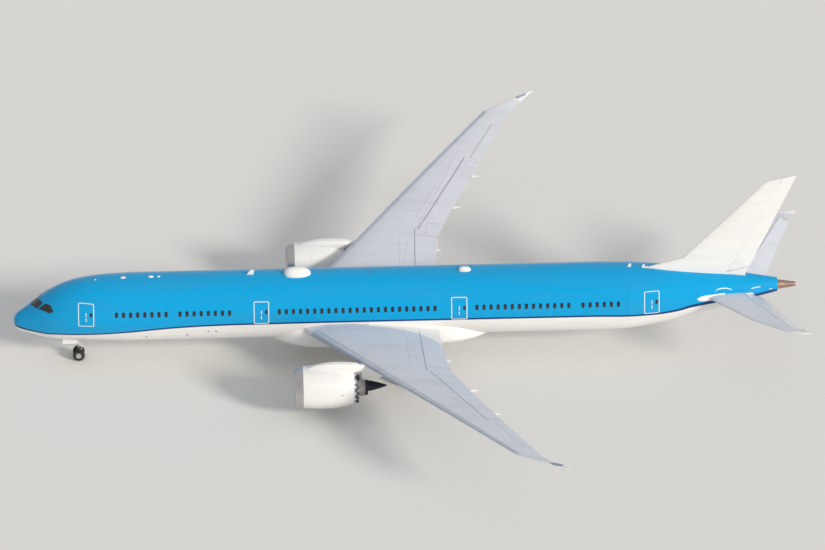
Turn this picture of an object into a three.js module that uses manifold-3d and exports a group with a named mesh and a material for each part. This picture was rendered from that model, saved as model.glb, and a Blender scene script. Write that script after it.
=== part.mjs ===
// Wide body airliner with two engines, at half its real size, standing on its landing gear.
// Frame: +X aft, +Y starboard, +Z up, millimetres. The origin is on the ground below the middle of its length.
// The tables hold real metres: x aft of the nose, y out from the plane of symmetry, z above the ground.
import * as THREE from "three";
import { mergeVertices } from "three/addons/utils/BufferGeometryUtils.js";
import Module from "manifold-3d";

const wasm = await Module();
wasm.setup();

// Driving dimensions, real metres.
const modelScale = 0.5;
const overallLength = 68.28;
const millimetresPerMetre = 1000 * modelScale;
const seam = 0.3 / millimetresPerMetre; // between fixed panels
const running = 7 / millimetresPerMetre; // round a panel that moves
const pinClearance = 0.5 / millimetresPerMetre;
const tiny = 0.001;

// Fuselage: x, z of the greatest width, half width, height above it, depth below it.
const fuselageStations = [
  [0.0, 4.04, 0.05, 0.05, 0.05],
  [0.15, 4.04, 0.5, 0.53, 0.636],
  [0.55, 4.06, 0.82, 0.88, 0.96],
  [1.25, 4.15, 1.2, 1.31, 1.21],
  [2.1, 4.35, 1.62, 1.8, 1.6],
  [3.06, 4.62, 2.02, 2.16, 2.09],
  [4.27, 4.92, 2.36, 2.46, 2.53],
  [5.5, 5.13, 2.6, 2.62, 2.77],
  [6.8, 5.22, 2.76, 2.74, 2.88],
  [8.3, 5.26, 2.85, 2.83, 2.97],
  [10.8, 5.28, 2.885, 2.885, 3.055],
  [50.0, 5.28, 2.885, 2.885, 3.055],
  [52.5, 5.29, 2.86, 2.83, 3.0],
  [55.0, 5.38, 2.64, 2.6, 2.72],
  [57.9, 5.55, 2.2, 2.13, 2.26],
  [61.3, 5.75, 1.58, 1.5, 1.66],
  [64.0, 5.9, 1.02, 0.98, 1.06],
  [65.9, 5.98, 0.6, 0.6, 0.6],
];
const fuselageSides = 32;

// Barrels between their joints: name, x where it starts, x where it ends.
const barrels = [
  ["radome", 0.0, 1.1],
  ["nose_section", 1.1, 8.3],
  ["forward_fuselage", 8.3, 22.3],
  ["centre_fuselage", 22.3, 37.0],
  ["aft_fuselage", 37.0, 52.9],
  ["tail_section", 52.9, 65.9],
];

// Belly fairing: x, half width, top z, bottom z.
const fairingStations = [
  [21.6, 0.5, 2.9, 2.24],
  [23.2, 2.2, 4.0, 2.1],
  [25.2, 3.12, 4.62, 1.93],
  [27.5, 3.3, 4.85, 1.86],
  [34.0, 3.3, 4.85, 1.86],
  [37.2, 3.05, 4.6, 1.95],
  [39.6, 2.2, 3.9, 2.1],
  [41.5, 0.5, 2.9, 2.24],
];

const fairingSides = 24;

// Wing: y, leading edge x and z, trailing edge x and z, thickness over chord.
const wingStations = [
  [2.0, 24.38, 3.95, 36.45, 3.9, 0.13],
  [2.9, 25.0, 4.08, 36.52, 3.98, 0.126],
  [7.0, 27.82, 4.66, 36.76, 4.45, 0.118],
  [10.9, 30.51, 5.19, 37.2, 4.9, 0.11],
  [14.0, 32.64, 5.58, 38.35, 5.26, 0.1],
  [20.0, 36.77, 6.32, 40.86, 5.96, 0.095],
  [25.0, 40.22, 6.86, 43.05, 6.55, 0.092],
  [27.4, 41.87, 7.11, 44.15, 6.83, 0.09],
  [28.3, 43.3, 7.2, 44.75, 6.96, 0.09],
  [29.2, 44.75, 7.3, 45.45, 7.12, 0.09],
  [29.8, 45.75, 7.4, 46.02, 7.34, 0.1],
  [30.06, 46.25, 7.45, 46.38, 7.44, 0.12],
];

// Surfaces that droop about a hinge below the wing: name, hinge start x and y, end x and y, drop.
const flaps = [
  ["inboard_flap", 34.8, 3.65, 35.05, 10.25, 0.8],
  ["outboard_flap", 36.0, 12.4, 39.6, 20.35, 0.62],
];
// Surfaces hinged at their own middle: name, hinge start x and y, end x and y.
const ailerons = [
  ["flaperon", 36.0, 10.65, 36.28, 11.95],
  ["aileron", 40.42, 21.1, 42.5, 25.6],
];
// Spoilers: name, hinge start x and y, end x and y, chord.
const spoilers = [
  ["inboard_spoiler", 33.55, 5.75, 33.75, 10.1, 1.4],
  ["outboard_spoiler", 35.26, 12.9, 38.82, 20.7, 1.0],
];
const spoilerThickness = 0.05;
// Flap track fairings: y, x of the nose, x of the tip, z of the tip, greatest depth below the wing.
const trackFairings = [
  [8.83, 33.4, 37.29, 4.53, 0.72],
  [14.62, 35.0, 39.35, 5.23, 0.56],
  [18.98, 37.4, 41.12, 5.64, 0.52],
];

// Fin with its rudder: leading edge x and z, trailing edge x and z, greatest thickness.
const finStations = [
  [54.6, 7.2, 63.1, 7.1, 0.8],
  [54.75, 8.06, 63.46, 7.83, 0.62],
  [57.6, 8.85, 63.9, 8.86, 0.56],
  [58.35, 9.65, 64.25, 9.68, 0.53],
  [60.15, 11.52, 65.05, 11.54, 0.44],
  [64.58, 16.26, 67.1, 16.34, 0.24],
  [65.02, 16.52, 67.38, 17.02, 0.18],
];
const rudderHinge = { low: [61.55, 7.3], high: [66.15, 16.7] };
const rudderNose = [0.18, 0.105]; // radii at its low and high ends
const rudderFootZ = 7.53; // where its lower pin stands on the hinge line
const rudderFootGap = 0.08; // its slanted foot needs more room than the other gaps when it turns

// Tailplane: y, leading edge x and z, trailing edge x and z, thickness over chord.
const tailplaneStations = [
  [0.9, 59.15, 5.72, 64.7, 5.72, 0.095],
  [3.1, 60.7, 6.08, 65.5, 6.05, 0.095],
  [6.6, 63.17, 6.65, 66.75, 6.6, 0.09],
  [8.6, 65.27, 6.97, 67.5, 6.93, 0.085],
  [9.5, 66.25, 7.11, 67.92, 7.07, 0.085],
  [9.85, 67.3, 7.16, 68.28, 7.15, 0.1],
];
const elevatorHinge = { inner: [63.0, 1.45], outer: [66.72, 9.05] };
const elevatorRootGap = 0.06; // its inner edge swings towards the body as it is raised
const elevatorDroop = (15 * Math.PI) / 180; // how far it hangs when the aircraft is parked

// Engine, about its own axis: x aft of the nose, radius.
const engine = { y: 9.85, z: 2.9, sides: 32, coreSides: 20 };
const nacelleOutside = [
  [23.86, 1.58],
  [23.98, 1.7],
  [24.6, 1.8],
  [25.4, 1.87],
  [26.6, 1.9],
  [27.6, 1.84],
  [28.6, 1.64],
  [29.4, 1.42],
];
const lipEnd = 24.55;
const inletThroat = 1.4;
const ductRadius = 1.46;
const chevronDepth = 0.32;
const coreProfile = [
  [25.62, 0.0],
  [25.62, 0.62],
  [26.3, 0.78],
  [27.4, 1.04],
  [28.6, 1.02],
  [30.1, 0.78],
  [30.1, 0.7],
  [29.9, 0.52],
  [30.5, 0.42],
  [31.5, 0.14],
  [31.8, 0.0],
];
const guideVanes = { x: 26.6, chord: 0.5, count: 8, reach: 1.4715 };
const fan = { x: 25.3, blades: 18, hub: 0.42, tip: 1.425, spinner: 24.6, shaft: 0.12, shaftEnd: 26.0 };

// Pylon: x, half width, bottom z, top z.
const pylonStations = [
  [24.95, 0.06, 4.3, 4.78],
  [25.7, 0.3, 4.3, 5.08],
  [26.5, 0.4, 4.3, 5.22],
  [27.4, 0.42, 4.3, 5.28],
  [28.6, 0.38, 4.2, 5.24],
  [29.15, 0.32, 3.88, 5.18],
  [29.38, 0.27, 3.74, 5.05],
  [30.1, 0.27, 3.66, 5.06],
  [31.2, 0.25, 3.9, 5.06],
  [33.4, 0.06, 4.5, 4.9],
];

// Landing gear.
const noseGear = {
  x: 5.56,
  radius: 0.515,
  tyreWidth: 0.4,
  halfTrack: 0.34,
  well: [4.1, 5.95],
  wellTop: 3.0,
  doorX: [4.15, 5.5],
  doorY: 0.62,
  doorLow: 1.85,
  towReach: 0.3,
};
const mainGear = {
  x: 34.44,
  y: 4.9,
  radius: 0.685,
  tyreWidth: 0.52,
  halfTrack: 0.66,
  axleGap: 1.46,
  topX: 33.95,
  beamOverhang: 0.24,
};
const wheelSides = 20;
const rodSides = 8;

// Flat pads for jacks: x and distance from the plane of symmetry, radius, and depth below the skin.
const jackPads = { nose: [9.2, 0], tail: [48.6, 0], wing: [31.4, 7.6], radius: 0.11, depth: 0.05 };

// Openings in the fuselage: x start, x end, bottom z, top z.
const passengerDoors = [
  [5.55, 6.82, 4.98, 6.92],
  [20.65, 21.88, 4.98, 6.92],
  [37.66, 38.95, 4.98, 6.92],
  [54.3, 55.54, 4.98, 6.92],
];
const doorDepth = 0.14;
const cargoDoors = [
  ["forward_cargo_door", 10.9, 13.6, 2.75, 4.5],
  ["aft_cargo_door", 42.2, 44.9, 2.75, 4.5],
];
const cargoHoldWall = 0.9;

// Cockpit panes on the port side: x, distance from the plane of symmetry, z.
const cockpitPanes = [
  [
    [1.42, 0.05, 5.5],
    [2.12, 0.05, 6.13],
    [2.5, 0.8, 6.24],
    [1.95, 0.9, 5.72],
  ],
  [
    [2.08, 1.0, 5.76],
    [2.72, 0.95, 6.26],
    [3.16, 1.31, 6.3],
    [3.4, 1.76, 5.93],
    [3.02, 1.66, 5.7],
  ],
];

const colours = {
  skyBlue: 0x00a1de,
  white: 0xf2f1ec,
  grey: 0xc9cdd0,
  darkGlass: 0x1a2028,
  bareMetal: 0xc4c6c8,
  hotMetal: 0x6f665c,
  fanBlade: 0x3c4046,
  gearPaint: 0xd9dbdc,
  tyre: 0x242426,
};
const material = (color, roughness, metalness) =>
  new THREE.MeshStandardMaterial({ color, roughness, metalness });
const finishes = {
  bluePaint: material(colours.skyBlue, 0.3, 0.0),
  whitePaint: material(colours.white, 0.3, 0.0),
  greyPaint: material(colours.grey, 0.4, 0.0),
  glass: material(colours.darkGlass, 0.1, 0.0),
  bareMetal: material(colours.bareMetal, 0.25, 1.0),
  hotMetal: material(colours.hotMetal, 0.4, 1.0),
  fanBlade: material(colours.fanBlade, 0.4, 0.6),
  gearPaint: material(colours.gearPaint, 0.4, 0.2),
  tyre: material(colours.tyre, 0.85, 0.0),
};

const airliner = new THREE.Group();

// A point given in real metres, in the model's millimetres.
const at = (x, y, z) =>
  new THREE.Vector3(x - overallLength / 2, y, z).multiplyScalar(millimetresPerMetre);

function closed(positions, triangles) {
  const vertProperties = new Float32Array(positions);
  const triVerts = new Uint32Array(triangles);
  return new wasm.Manifold(new wasm.Mesh({ numProp: 3, vertProperties, triVerts }));
}

// A solid from a closed geometry already placed in the model.
function solidOf(geometry) {
  geometry.deleteAttribute("normal");
  geometry.deleteAttribute("uv");
  const merged = mergeVertices(geometry, 1e-3);
  const triangles = Array.from(merged.index.array);
  const solid = closed(merged.attributes.position.array, triangles);
  return solid.volume() < 0 ? closed(merged.attributes.position.array, triangles.reverse()) : solid;
}

// A solid through rings of points with the same count, closed at both ends.
function loft(rings) {
  const count = rings[0].length;
  const points = rings.flat().map((p) => at(...p));
  const triangles = [];
  for (let r = 0; r + 1 < rings.length; r++)
    for (let i = 0; i < count; i++) {
      const [a, b] = [r * count + i, r * count + ((i + 1) % count)];
      triangles.push(a, b, b + count, a, b + count, a + count);
    }
  for (const [start, flip] of [
    [0, true],
    [points.length - count, false],
  ]) {
    const middle = new THREE.Vector3();
    for (let i = 0; i < count; i++) middle.addScaledVector(points[start + i], 1 / count);
    const centre = points.push(middle) - 1;
    for (let i = 0; i < count; i++) {
      const [a, b] = [start + i, start + ((i + 1) % count)];
      if (flip) triangles.push(b, a, centre);
      else triangles.push(a, b, centre);
    }
  }
  const positions = points.flatMap((p) => p.toArray());
  const solid = closed(positions, triangles);
  return solid.volume() < 0 ? closed(positions, triangles.reverse()) : solid;
}

// One mesh of the airliner.
function addPart(name, solid, finish) {
  const made = solid.getMesh();
  const geometry = new THREE.BufferGeometry();
  geometry.setAttribute("position", new THREE.BufferAttribute(made.vertProperties, 3));
  geometry.setIndex(new THREE.BufferAttribute(made.triVerts, 1));
  geometry.computeVertexNormals();
  const mesh = new THREE.Mesh(geometry, finish);
  mesh.name = name;
  airliner.add(mesh);
}

// The port side's solid from the starboard side's.
function mirrored(solid) {
  const made = solid.getMesh();
  const positions = Array.from(made.vertProperties, (value, i) => (i % 3 === 1 ? -value : value));
  return closed(positions, Array.from(made.triVerts).reverse());
}
function addPair(name, solid, finish) {
  addPart(name + "_starboard", solid, finish);
  addPart(name + "_port", mirrored(solid), finish);
}

const join = (solids) => solids.reduce((whole, piece) => whole.add(piece));
const without = (solid, cutters) => cutters.reduce((rest, cutter) => rest.subtract(cutter), solid);

const largest = (solid) => solid.decompose().sort((a, b) => b.volume() - a.volume())[0];

// Values of a table whose first column rises, at a place between its rows.
function interpolate(table, place) {
  const last = table.length - 2;
  const row = Math.min(last, Math.max(0, table.findIndex((r) => r[0] > place) - 1));
  const index = place >= table[last + 1][0] ? last : row;
  const [from, to] = [table[index], table[index + 1]];
  const share = (place - from[0]) / (to[0] - from[0]);
  return from.map((value, i) => value + (to[i] - value) * share);
}

// A tube, rod or cone between two points.
function rod(from, to, radiusFrom, radiusTo = radiusFrom, sides = rodSides, turn = 0) {
  const [a, b] = [at(...from), at(...to)];
  const along = new THREE.Vector3().subVectors(b, a);
  const geometry = new THREE.CylinderGeometry(
    radiusTo * millimetresPerMetre,
    radiusFrom * millimetresPerMetre,
    along.length(),
    sides,
  );
  geometry.rotateY(turn);
  const upright = new THREE.Vector3(0, 1, 0);
  geometry.applyQuaternion(new THREE.Quaternion().setFromUnitVectors(upright, along.clone().normalize()));
  geometry.translate(...a.add(b).multiplyScalar(0.5).toArray());
  return solidOf(geometry);
}

// The radius of a bore whose flats stay clear of a pin's edges.
const boreRadius = (pinRadius) => (pinRadius + pinClearance) / Math.cos(Math.PI / rodSides);

// A box between two corners.
function block(low, high) {
  const [a, b] = [at(...low), at(...high)];
  const geometry = new THREE.BoxGeometry(b.x - a.x, b.y - a.y, b.z - a.z);
  geometry.translate((a.x + b.x) / 2, (a.y + b.y) / 2, (a.z + b.z) / 2);
  return solidOf(geometry);
}

// A box set along a hinge: `aft` and `up` give its reach before and behind the hinge, below and above it.
function hingeBox(frame, ends, aft, up) {
  const corner = (along, a, u) =>
    [0, 1, 2].map((i) => frame.start[i] + frame.along[i] * along + frame.aft[i] * a + frame.up[i] * u);
  const ring = (along) => [
    corner(along, aft[0], up[0]),
    corner(along, aft[1], up[0]),
    corner(along, aft[1], up[1]),
    corner(along, aft[0], up[1]),
  ];
  return loft([ring(ends[0]), ring(ends[1])]);
}

// Directions along a hinge, square to it towards the trailing edge, and out of the surface.
function hingeFrame(start, end, towards) {
  const along = new THREE.Vector3(...end).sub(new THREE.Vector3(...start));
  const length = along.length();
  along.normalize();
  const aft = new THREE.Vector3(...towards);
  aft.addScaledVector(along, -aft.dot(along)).normalize();
  const up = new THREE.Vector3().crossVectors(aft, along);
  return { start, length, along: along.toArray(), aft: aft.toArray(), up: up.toArray() };
}
const onHinge = (frame, along) => frame.start.map((value, i) => value + frame.along[i] * along);

// A fuselage ring at x, grown by `grow`.
function fuselageRing(x, grow = 0) {
  const [, z, width, top, bottom] = interpolate(fuselageStations, x);
  return Array.from({ length: fuselageSides }, (_, i) => {
    const angle = (2 * Math.PI * (i + 0.5)) / fuselageSides;
    const [s, c] = [Math.sin(angle), Math.cos(angle)];
    return [x, (width + grow) * c, z + ((s > 0 ? top : bottom) + grow) * s];
  });
}
function fuselage(from, to, grow = 0) {
  const between = fuselageStations.map(([x]) => x).filter((x) => x > from + tiny && x < to - tiny);
  return loft([from, ...between, to].map((x) => fuselageRing(x, grow)));
}

// An aerofoil ring from its edges, thickness and the direction of its thickness.
const chordShares = [0, 0.015, 0.07, 0.18, 0.36, 0.58, 0.8, 1];
const trailingEdge = 0.012;
const halfThickness = (c) =>
  5 * (0.2969 * Math.sqrt(c) - 0.126 * c - 0.3516 * c ** 2 + 0.2843 * c ** 3 - 0.1036 * c ** 4);
function aerofoil(front, back, thickness, up) {
  const point = (c, side) =>
    front.map((value, i) => {
      const half = halfThickness(c) * thickness + trailingEdge * c;
      return value + (back[i] - value) * c + side * up[i] * half;
    });
  const upper = chordShares.map((c) => point(c, 1));
  const lower = chordShares.slice(1).map((c) => point(c, -1));
  return [...upper, ...lower.reverse()];
}
const zUp = [0, 0, 1];
const yUp = [0, 1, 0];

function wingLoft() {
  return loft(
    wingStations.map(([y, frontX, frontZ, backX, backZ, ratio]) =>
      aerofoil([frontX, y, frontZ], [backX, y, backZ], ratio * (backX - frontX), zUp),
    ),
  );
}
// Middle height and half thickness of a wing or tailplane at x and y.
function surfaceAt(stations, x, y) {
  const [, frontX, frontZ, backX, backZ, ratio] = interpolate(stations, y);
  const chord = backX - frontX;
  const share = Math.min(1, Math.max(0, (x - frontX) / chord));
  const half = halfThickness(share) * ratio * chord + trailingEdge * share;
  return { z: frontZ + (backZ - frontZ) * share, half };
}

// A nose a little fuller than the skin at the hinge, so that the skin never stands proud of it.
const noseFullness = 1.04;

// A panel hinged at its own middle, with a round nose, and the space that it needs.
function centreHinged(whole, start, end, radii, towards, reach) {
  const frame = hingeFrame(start, end, towards);
  const [low, high] = [-reach.height, reach.height];
  const shape = (grow) => {
    const ends = [-grow, frame.length + grow + (reach.beyond || 0)];
    const taper = (radii[1] - radii[0]) / frame.length;
    const nose = rod(
      onHinge(frame, ends[0]),
      onHinge(frame, ends[1]),
      radii[0] + taper * ends[0] + grow,
      radii[0] + taper * ends[1] + grow,
      20,
    );
    return hingeBox(frame, ends, [-grow, reach.chord], [low, high]).add(nose);
  };
  return { panel: whole.intersect(shape(0)), space: shape(running), frame };
}

// A panel turned about its hinge line, its trailing edge down.
function turnedDown(panel, frame, angle) {
  const start = at(...frame.start);
  const turn = new THREE.Matrix4().makeRotationAxis(new THREE.Vector3(...frame.along), angle);
  const move = new THREE.Matrix4().makeTranslation(start.x, start.y, start.z);
  const back = new THREE.Matrix4().makeTranslation(-start.x, -start.y, -start.z);
  return panel.transform(move.multiply(turn).multiply(back).toArray());
}

// Pins on the hinge line at the ends of a panel, and their bores in it.
const pinRadius = 0.03;
function hingePins(frame, places, root = running + 0.1) {
  const tip = 0.12;
  const span = (end, extra) => {
    const inward = end ? -1 : 1;
    const place = end * frame.length;
    return [onHinge(frame, place - inward * (root + extra)), onHinge(frame, place + inward * (tip + extra))];
  };
  return {
    pins: places.map((end) => rod(...span(end, 0), pinRadius)),
    bores: places.map((end) => rod(...span(end, 2 * seam), boreRadius(pinRadius))),
  };
}

function addFuselage() {
  const doorSpaces = [];
  for (const [index, [x0, x1, z0, z1]] of passengerDoors.entries()) {
    const door = cabinDoor(x0, x1, z0, z1, 0);
    const space = cabinDoor(x0, x1, z0, z1, seam);
    addPair(`passenger_door_${index + 1}`, door, finishes.bluePaint);
    doorSpaces.push(space, mirrored(space));
  }
  for (const [name, x0, x1, z0, z1] of cargoDoors) {
    const { door, space } = cargoDoor(x0, x1, z0, z1);
    addPart(name, door, finishes.whitePaint);
    doorSpaces.push(space);
  }
  const { glass, glassSpace } = cockpitGlass();
  addPart("cockpit_glass", glass, finishes.glass);
  const cuts = [...doorSpaces, glassSpace, noseWell()];
  for (const [name, from, to] of barrels) {
    const extras = fuselageExtras[name];
    const barrel = without(fuselage(from, to - seam), cuts);
    addPart(name, extras ? barrel.add(extras()) : barrel, finishes.bluePaint);
  }
  const exhaust = new THREE.LatheGeometry(
    [
      [0, 0],
      [0.42, 0],
      [0.19, 1.6],
      [0.13, 1.6],
      [0.13, 1.2],
      [0, 1.2],
    ].map(([r, along]) => new THREE.Vector2(r * millimetresPerMetre, along * millimetresPerMetre)),
    24,
  );
  exhaust.rotateZ(-Math.PI / 2);
  exhaust.translate(...at(65.9 + seam, 0, 5.97).toArray());
  addPart("exhaust_cone", solidOf(exhaust), finishes.bareMetal);
}

// A pad under a surface whose skin is at z.
const jackPad = (x, y, z) => rod([x, y, z + 0.3], [x, y, z - jackPads.depth], jackPads.radius);
const bellyPad = ([x]) => {
  const [, z, , , bottom] = interpolate(fuselageStations, x);
  return jackPad(x, 0, z - bottom);
};
const fuselageExtras = {
  nose_section: noseGearDoors,
  forward_fuselage: () => bellyPad(jackPads.nose),
  aft_fuselage: () => bellyPad(jackPads.tail),
};

// A cabin door or its space: a rounded panel as deep as the wall, on the starboard side.
function cabinDoor(x0, x1, z0, z1, grow) {
  const corner = 0.2;
  const [left, right, low, high] = [x0 - grow, x1 + grow, z0 - grow, z1 + grow];
  const outline = new THREE.Shape();
  outline.moveTo(left + corner, low);
  outline.absarc(right - corner, low + corner, corner, -Math.PI / 2, 0);
  outline.absarc(right - corner, high - corner, corner, 0, Math.PI / 2);
  outline.absarc(left + corner, high - corner, corner, Math.PI / 2, Math.PI);
  outline.absarc(left + corner, low + corner, corner, Math.PI, Math.PI * 1.5);
  const panel = new THREE.ExtrudeGeometry(outline, { depth: 4, bevelEnabled: false, curveSegments: 2 });
  panel.rotateX(Math.PI / 2);
  panel.translate(-overallLength / 2, 4, 0);
  panel.scale(millimetresPerMetre, millimetresPerMetre, millimetresPerMetre);
  const inner = fuselage(x0 - 0.5, x1 + 0.5, -doorDepth - grow);
  const prism = solidOf(panel).subtract(inner);
  return grow ? prism : prism.intersect(fuselage(x0 - 0.5, x1 + 0.5));
}

// A cargo door on the starboard side, hinged at its top edge, and the hold that it closes.
function cargoDoor(x0, x1, z0, z1) {
  const wall = 0.12;
  const skin = fuselage(x0 - 0.5, x1 + 0.5);
  const inner = fuselage(x0 - 0.5, x1 + 0.5, -wall);
  const door = block([x0, 0, z0], [x1, 4, z1]).intersect(skin).subtract(inner);
  const pocket = block([x0 - running, 0, z0 - running], [x1 + running, 4, z1 + running]);
  const rim = 0.07;
  const hold = block([x0 + rim, cargoHoldWall, z0 + rim], [x1 - rim, 4, z1 - rim]);
  const space = pocket.subtract(fuselage(x0 - 0.5, x1 + 0.5, -wall - seam)).add(hold);
  return { door, space };
}

// The four panes on one band behind the windscreen frame, and the space that they fill.
function cockpitGlass() {
  const band = (grow) =>
    block([2.0 - grow, -1.3 - grow, 5.3 - grow], [2.5 + grow, 1.3 + grow, 5.75 + grow]).intersect(
      fuselage(1.5, 3.6, grow - 0.18),
    );
  const pane = (corners, side, grow) => {
    const middle = new THREE.Vector3();
    corners.forEach((c) => middle.add(new THREE.Vector3(...c)));
    middle.multiplyScalar(1 / corners.length);
    const inside = new THREE.Vector3(2.3, 0.45, 5.45);
    const ring = (reach) =>
      corners.map(([x, y, z]) => {
        const edge = new THREE.Vector3(x, y, z);
        const outwards = edge.clone().sub(middle).normalize();
        const p = inside.clone().addScaledVector(edge.sub(inside), reach);
        p.addScaledVector(outwards, grow * 3);
        return [p.x, side * p.y, p.z];
      });
    return loft([ring(0.12 - grow), ring(1.35)]);
  };
  const shape = (grow) =>
    join([band(grow), ...cockpitPanes.flatMap((p) => [pane(p, 1, grow), pane(p, -1, grow)])]);
  return {
    glass: shape(0).intersect(fuselage(1.2, 4.2, -0.015)),
    glassSpace: shape(seam),
  };
}

// The well that the nose leg stands in.
const noseWell = () => block([noseGear.well[0], -0.42, 1.5], [noseGear.well[1], 0.42, noseGear.wellTop]);

// The two doors that hang open ahead of the nose leg.
function noseGearDoors() {
  const thickness = 0.04;
  const { doorX, doorY, doorLow } = noseGear;
  const door = block([doorX[0], doorY - thickness, doorLow], [doorX[1], doorY, 2.9]);
  return join([door, mirrored(door)]);
}

function addFairing() {
  const ring = ([x, width, top, bottom], grow) => {
    const [middle, half] = [(top + bottom) / 2, (top - bottom) / 2];
    return Array.from({ length: fairingSides }, (_, i) => {
      const angle = (2 * Math.PI * (i + 0.5)) / fairingSides;
      const round = (value) => Math.sign(value) * Math.abs(value) ** 0.72;
      return [x, (width + grow) * round(Math.cos(angle)), middle + (half + grow) * round(Math.sin(angle))];
    });
  };
  const whole = (grow) => loft(fairingStations.map((row) => ring(row, grow)));
  const body = whole(0).subtract(fuselage(20, 42, seam));
  addPart("wing_body_fairing", body, finishes.whitePaint);
  const space = whole(seam);
  return space.add(mirrored(space));
}

// A fairing round a flap track, below the wing.
function trackFairing([y, nose, tip, tipZ, depth]) {
  const shares = [0, 0.08, 0.25, 0.5, 0.75, 0.92, 1];
  const fullness = [0.1, 0.5, 0.86, 1, 0.74, 0.34, 0.08];
  const trailing = interpolate(wingStations, y)[3];
  return loft(
    shares.map((share, k) => {
      const x = nose + (tip - nose) * share;
      const top = x < trailing - 0.2 ? surfaceAt(wingStations, x, y).z : tipZ + 0.08 + (tip - x) * 0.12;
      const full = fullness[k];
      const lowest = x < trailing - 0.2 ? -Infinity : tipZ - 0.05 * full;
      const bottom = Math.max(top - depth * full, lowest);
      const [half, middle] = [0.24 * Math.sqrt(full), (top + bottom) / 2];
      return Array.from({ length: 10 }, (_, i) => {
        const angle = (2 * Math.PI * (i + 0.5)) / 10;
        return [x, y + half * Math.cos(angle), middle + ((top - bottom) / 2) * Math.sin(angle)];
      });
    }),
  );
}

function addWings(fairingSpace) {
  let wing = join([wingLoft(), ...trackFairings.map(trackFairing)]);
  wing = without(wing, [fairingSpace, fuselage(20, 42, seam)]);
  for (const [name, x0, y0, x1, y1] of ailerons) {
    const [inner, outer] = [surfaceAt(wingStations, x0, y0), surfaceAt(wingStations, x1, y1)];
    const noses = [inner.half * noseFullness, outer.half * noseFullness];
    const made = centreHinged(wing, [x0, y0, inner.z], [x1, y1, outer.z], noses, [1, 0, 0], {
      chord: 3,
      height: 0.9,
    });
    const { pins, bores } = hingePins(made.frame, [0, 1]);
    addPair(name, without(made.panel, bores), finishes.greyPaint);
    wing = join([wing.subtract(made.space), ...pins]);
  }
  const flapSpaces = [];
  for (const [name, x0, y0, x1, y1, drop] of flaps) {
    const start = [x0, y0, surfaceAt(wingStations, x0, y0).z - drop];
    const end = [x1, y1, surfaceAt(wingStations, x1, y1).z - drop];
    const frame = hingeFrame(start, end, [1, 0, 0]);
    const region = hingeBox(frame, [0, frame.length], [0, 4], [0, 2]);
    addPair(name, wing.intersect(region), finishes.greyPaint);
    const ends = [-running, frame.length + running];
    wing = wing.subtract(hingeBox(frame, ends, [-seam, 4], [-1, 2]));
    flapSpaces.push(hingeBox(frame, ends, [-running, 4], [-1, 2]));
  }
  for (const [name, x0, y0, x1, y1, chord] of spoilers) {
    const [inner, outer] = [surfaceAt(wingStations, x0, y0), surfaceAt(wingStations, x1, y1)];
    const start = [x0, y0, inner.z + inner.half];
    const end = [x1, y1, outer.z + outer.half];
    const flat = hingeFrame(start, end, [1, 0, 0]);
    const behind = start.map((value, i) => value + flat.aft[i] * chord);
    const skin = surfaceAt(wingStations, behind[0], behind[1]);
    const fall = (start[2] - skin.z - skin.half) / chord;
    const frame = hingeFrame(start, end, [1, 0, -fall]);
    const region = hingeBox(frame, [0, frame.length], [0, chord + 1], [-spoilerThickness, 0.5]);
    addPair(name, without(wing.intersect(region), flapSpaces), finishes.greyPaint);
    const space = [-spoilerThickness - seam, 0.5];
    wing = wing.subtract(hingeBox(frame, [-running, frame.length + running], [-running, chord + 1], space));
  }
  const [padX, padY] = jackPads.wing;
  const skin = surfaceAt(wingStations, padX, padY);
  wing = wing.add(jackPad(padX, padY, skin.z - skin.half));
  addPair("wing", wing, finishes.greyPaint);
  return wing;
}

function addFin() {
  const fin = loft(
    finStations.map(([frontX, frontZ, backX, backZ, thick]) =>
      aerofoil([frontX, 0, frontZ], [backX, 0, backZ], thick, yUp),
    ),
  ).subtract(fuselage(52, 65.9, seam));
  const { low, high } = rudderHinge;
  const made = centreHinged(
    fin,
    [low[0], 0, low[1]],
    [high[0], 0, high[1]],
    rudderNose,
    [1, 0, 0],
    { chord: 4, height: 1, beyond: 1.5 },
  );
  const foot = loft([
    [
      [60.0, -1, 6.0],
      [64.5, -1, 6.0],
      [64.5, -1, 8.02],
      [60.0, -1, 7.12],
    ],
    [
      [60.0, 1, 6.0],
      [64.5, 1, 6.0],
      [64.5, 1, 8.02],
      [60.0, 1, 7.12],
    ],
  ]);
  const footSpace = foot.translate(0, 0, -running * millimetresPerMetre);
  const start = onHinge(made.frame, (rudderFootZ - low[1]) / made.frame.along[2]);
  const { pins, bores } = hingePins({ ...made.frame, start }, [0], 0.25);
  const raisedFoot = foot.translate(0, 0, rudderFootGap * millimetresPerMetre);
  addPart("rudder", without(made.panel, [raisedFoot, ...bores]), finishes.whitePaint);
  const fixed = fin.subtract(made.space.subtract(footSpace));
  addPart("fin", join([fixed, ...pins]), finishes.whitePaint);
}

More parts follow.
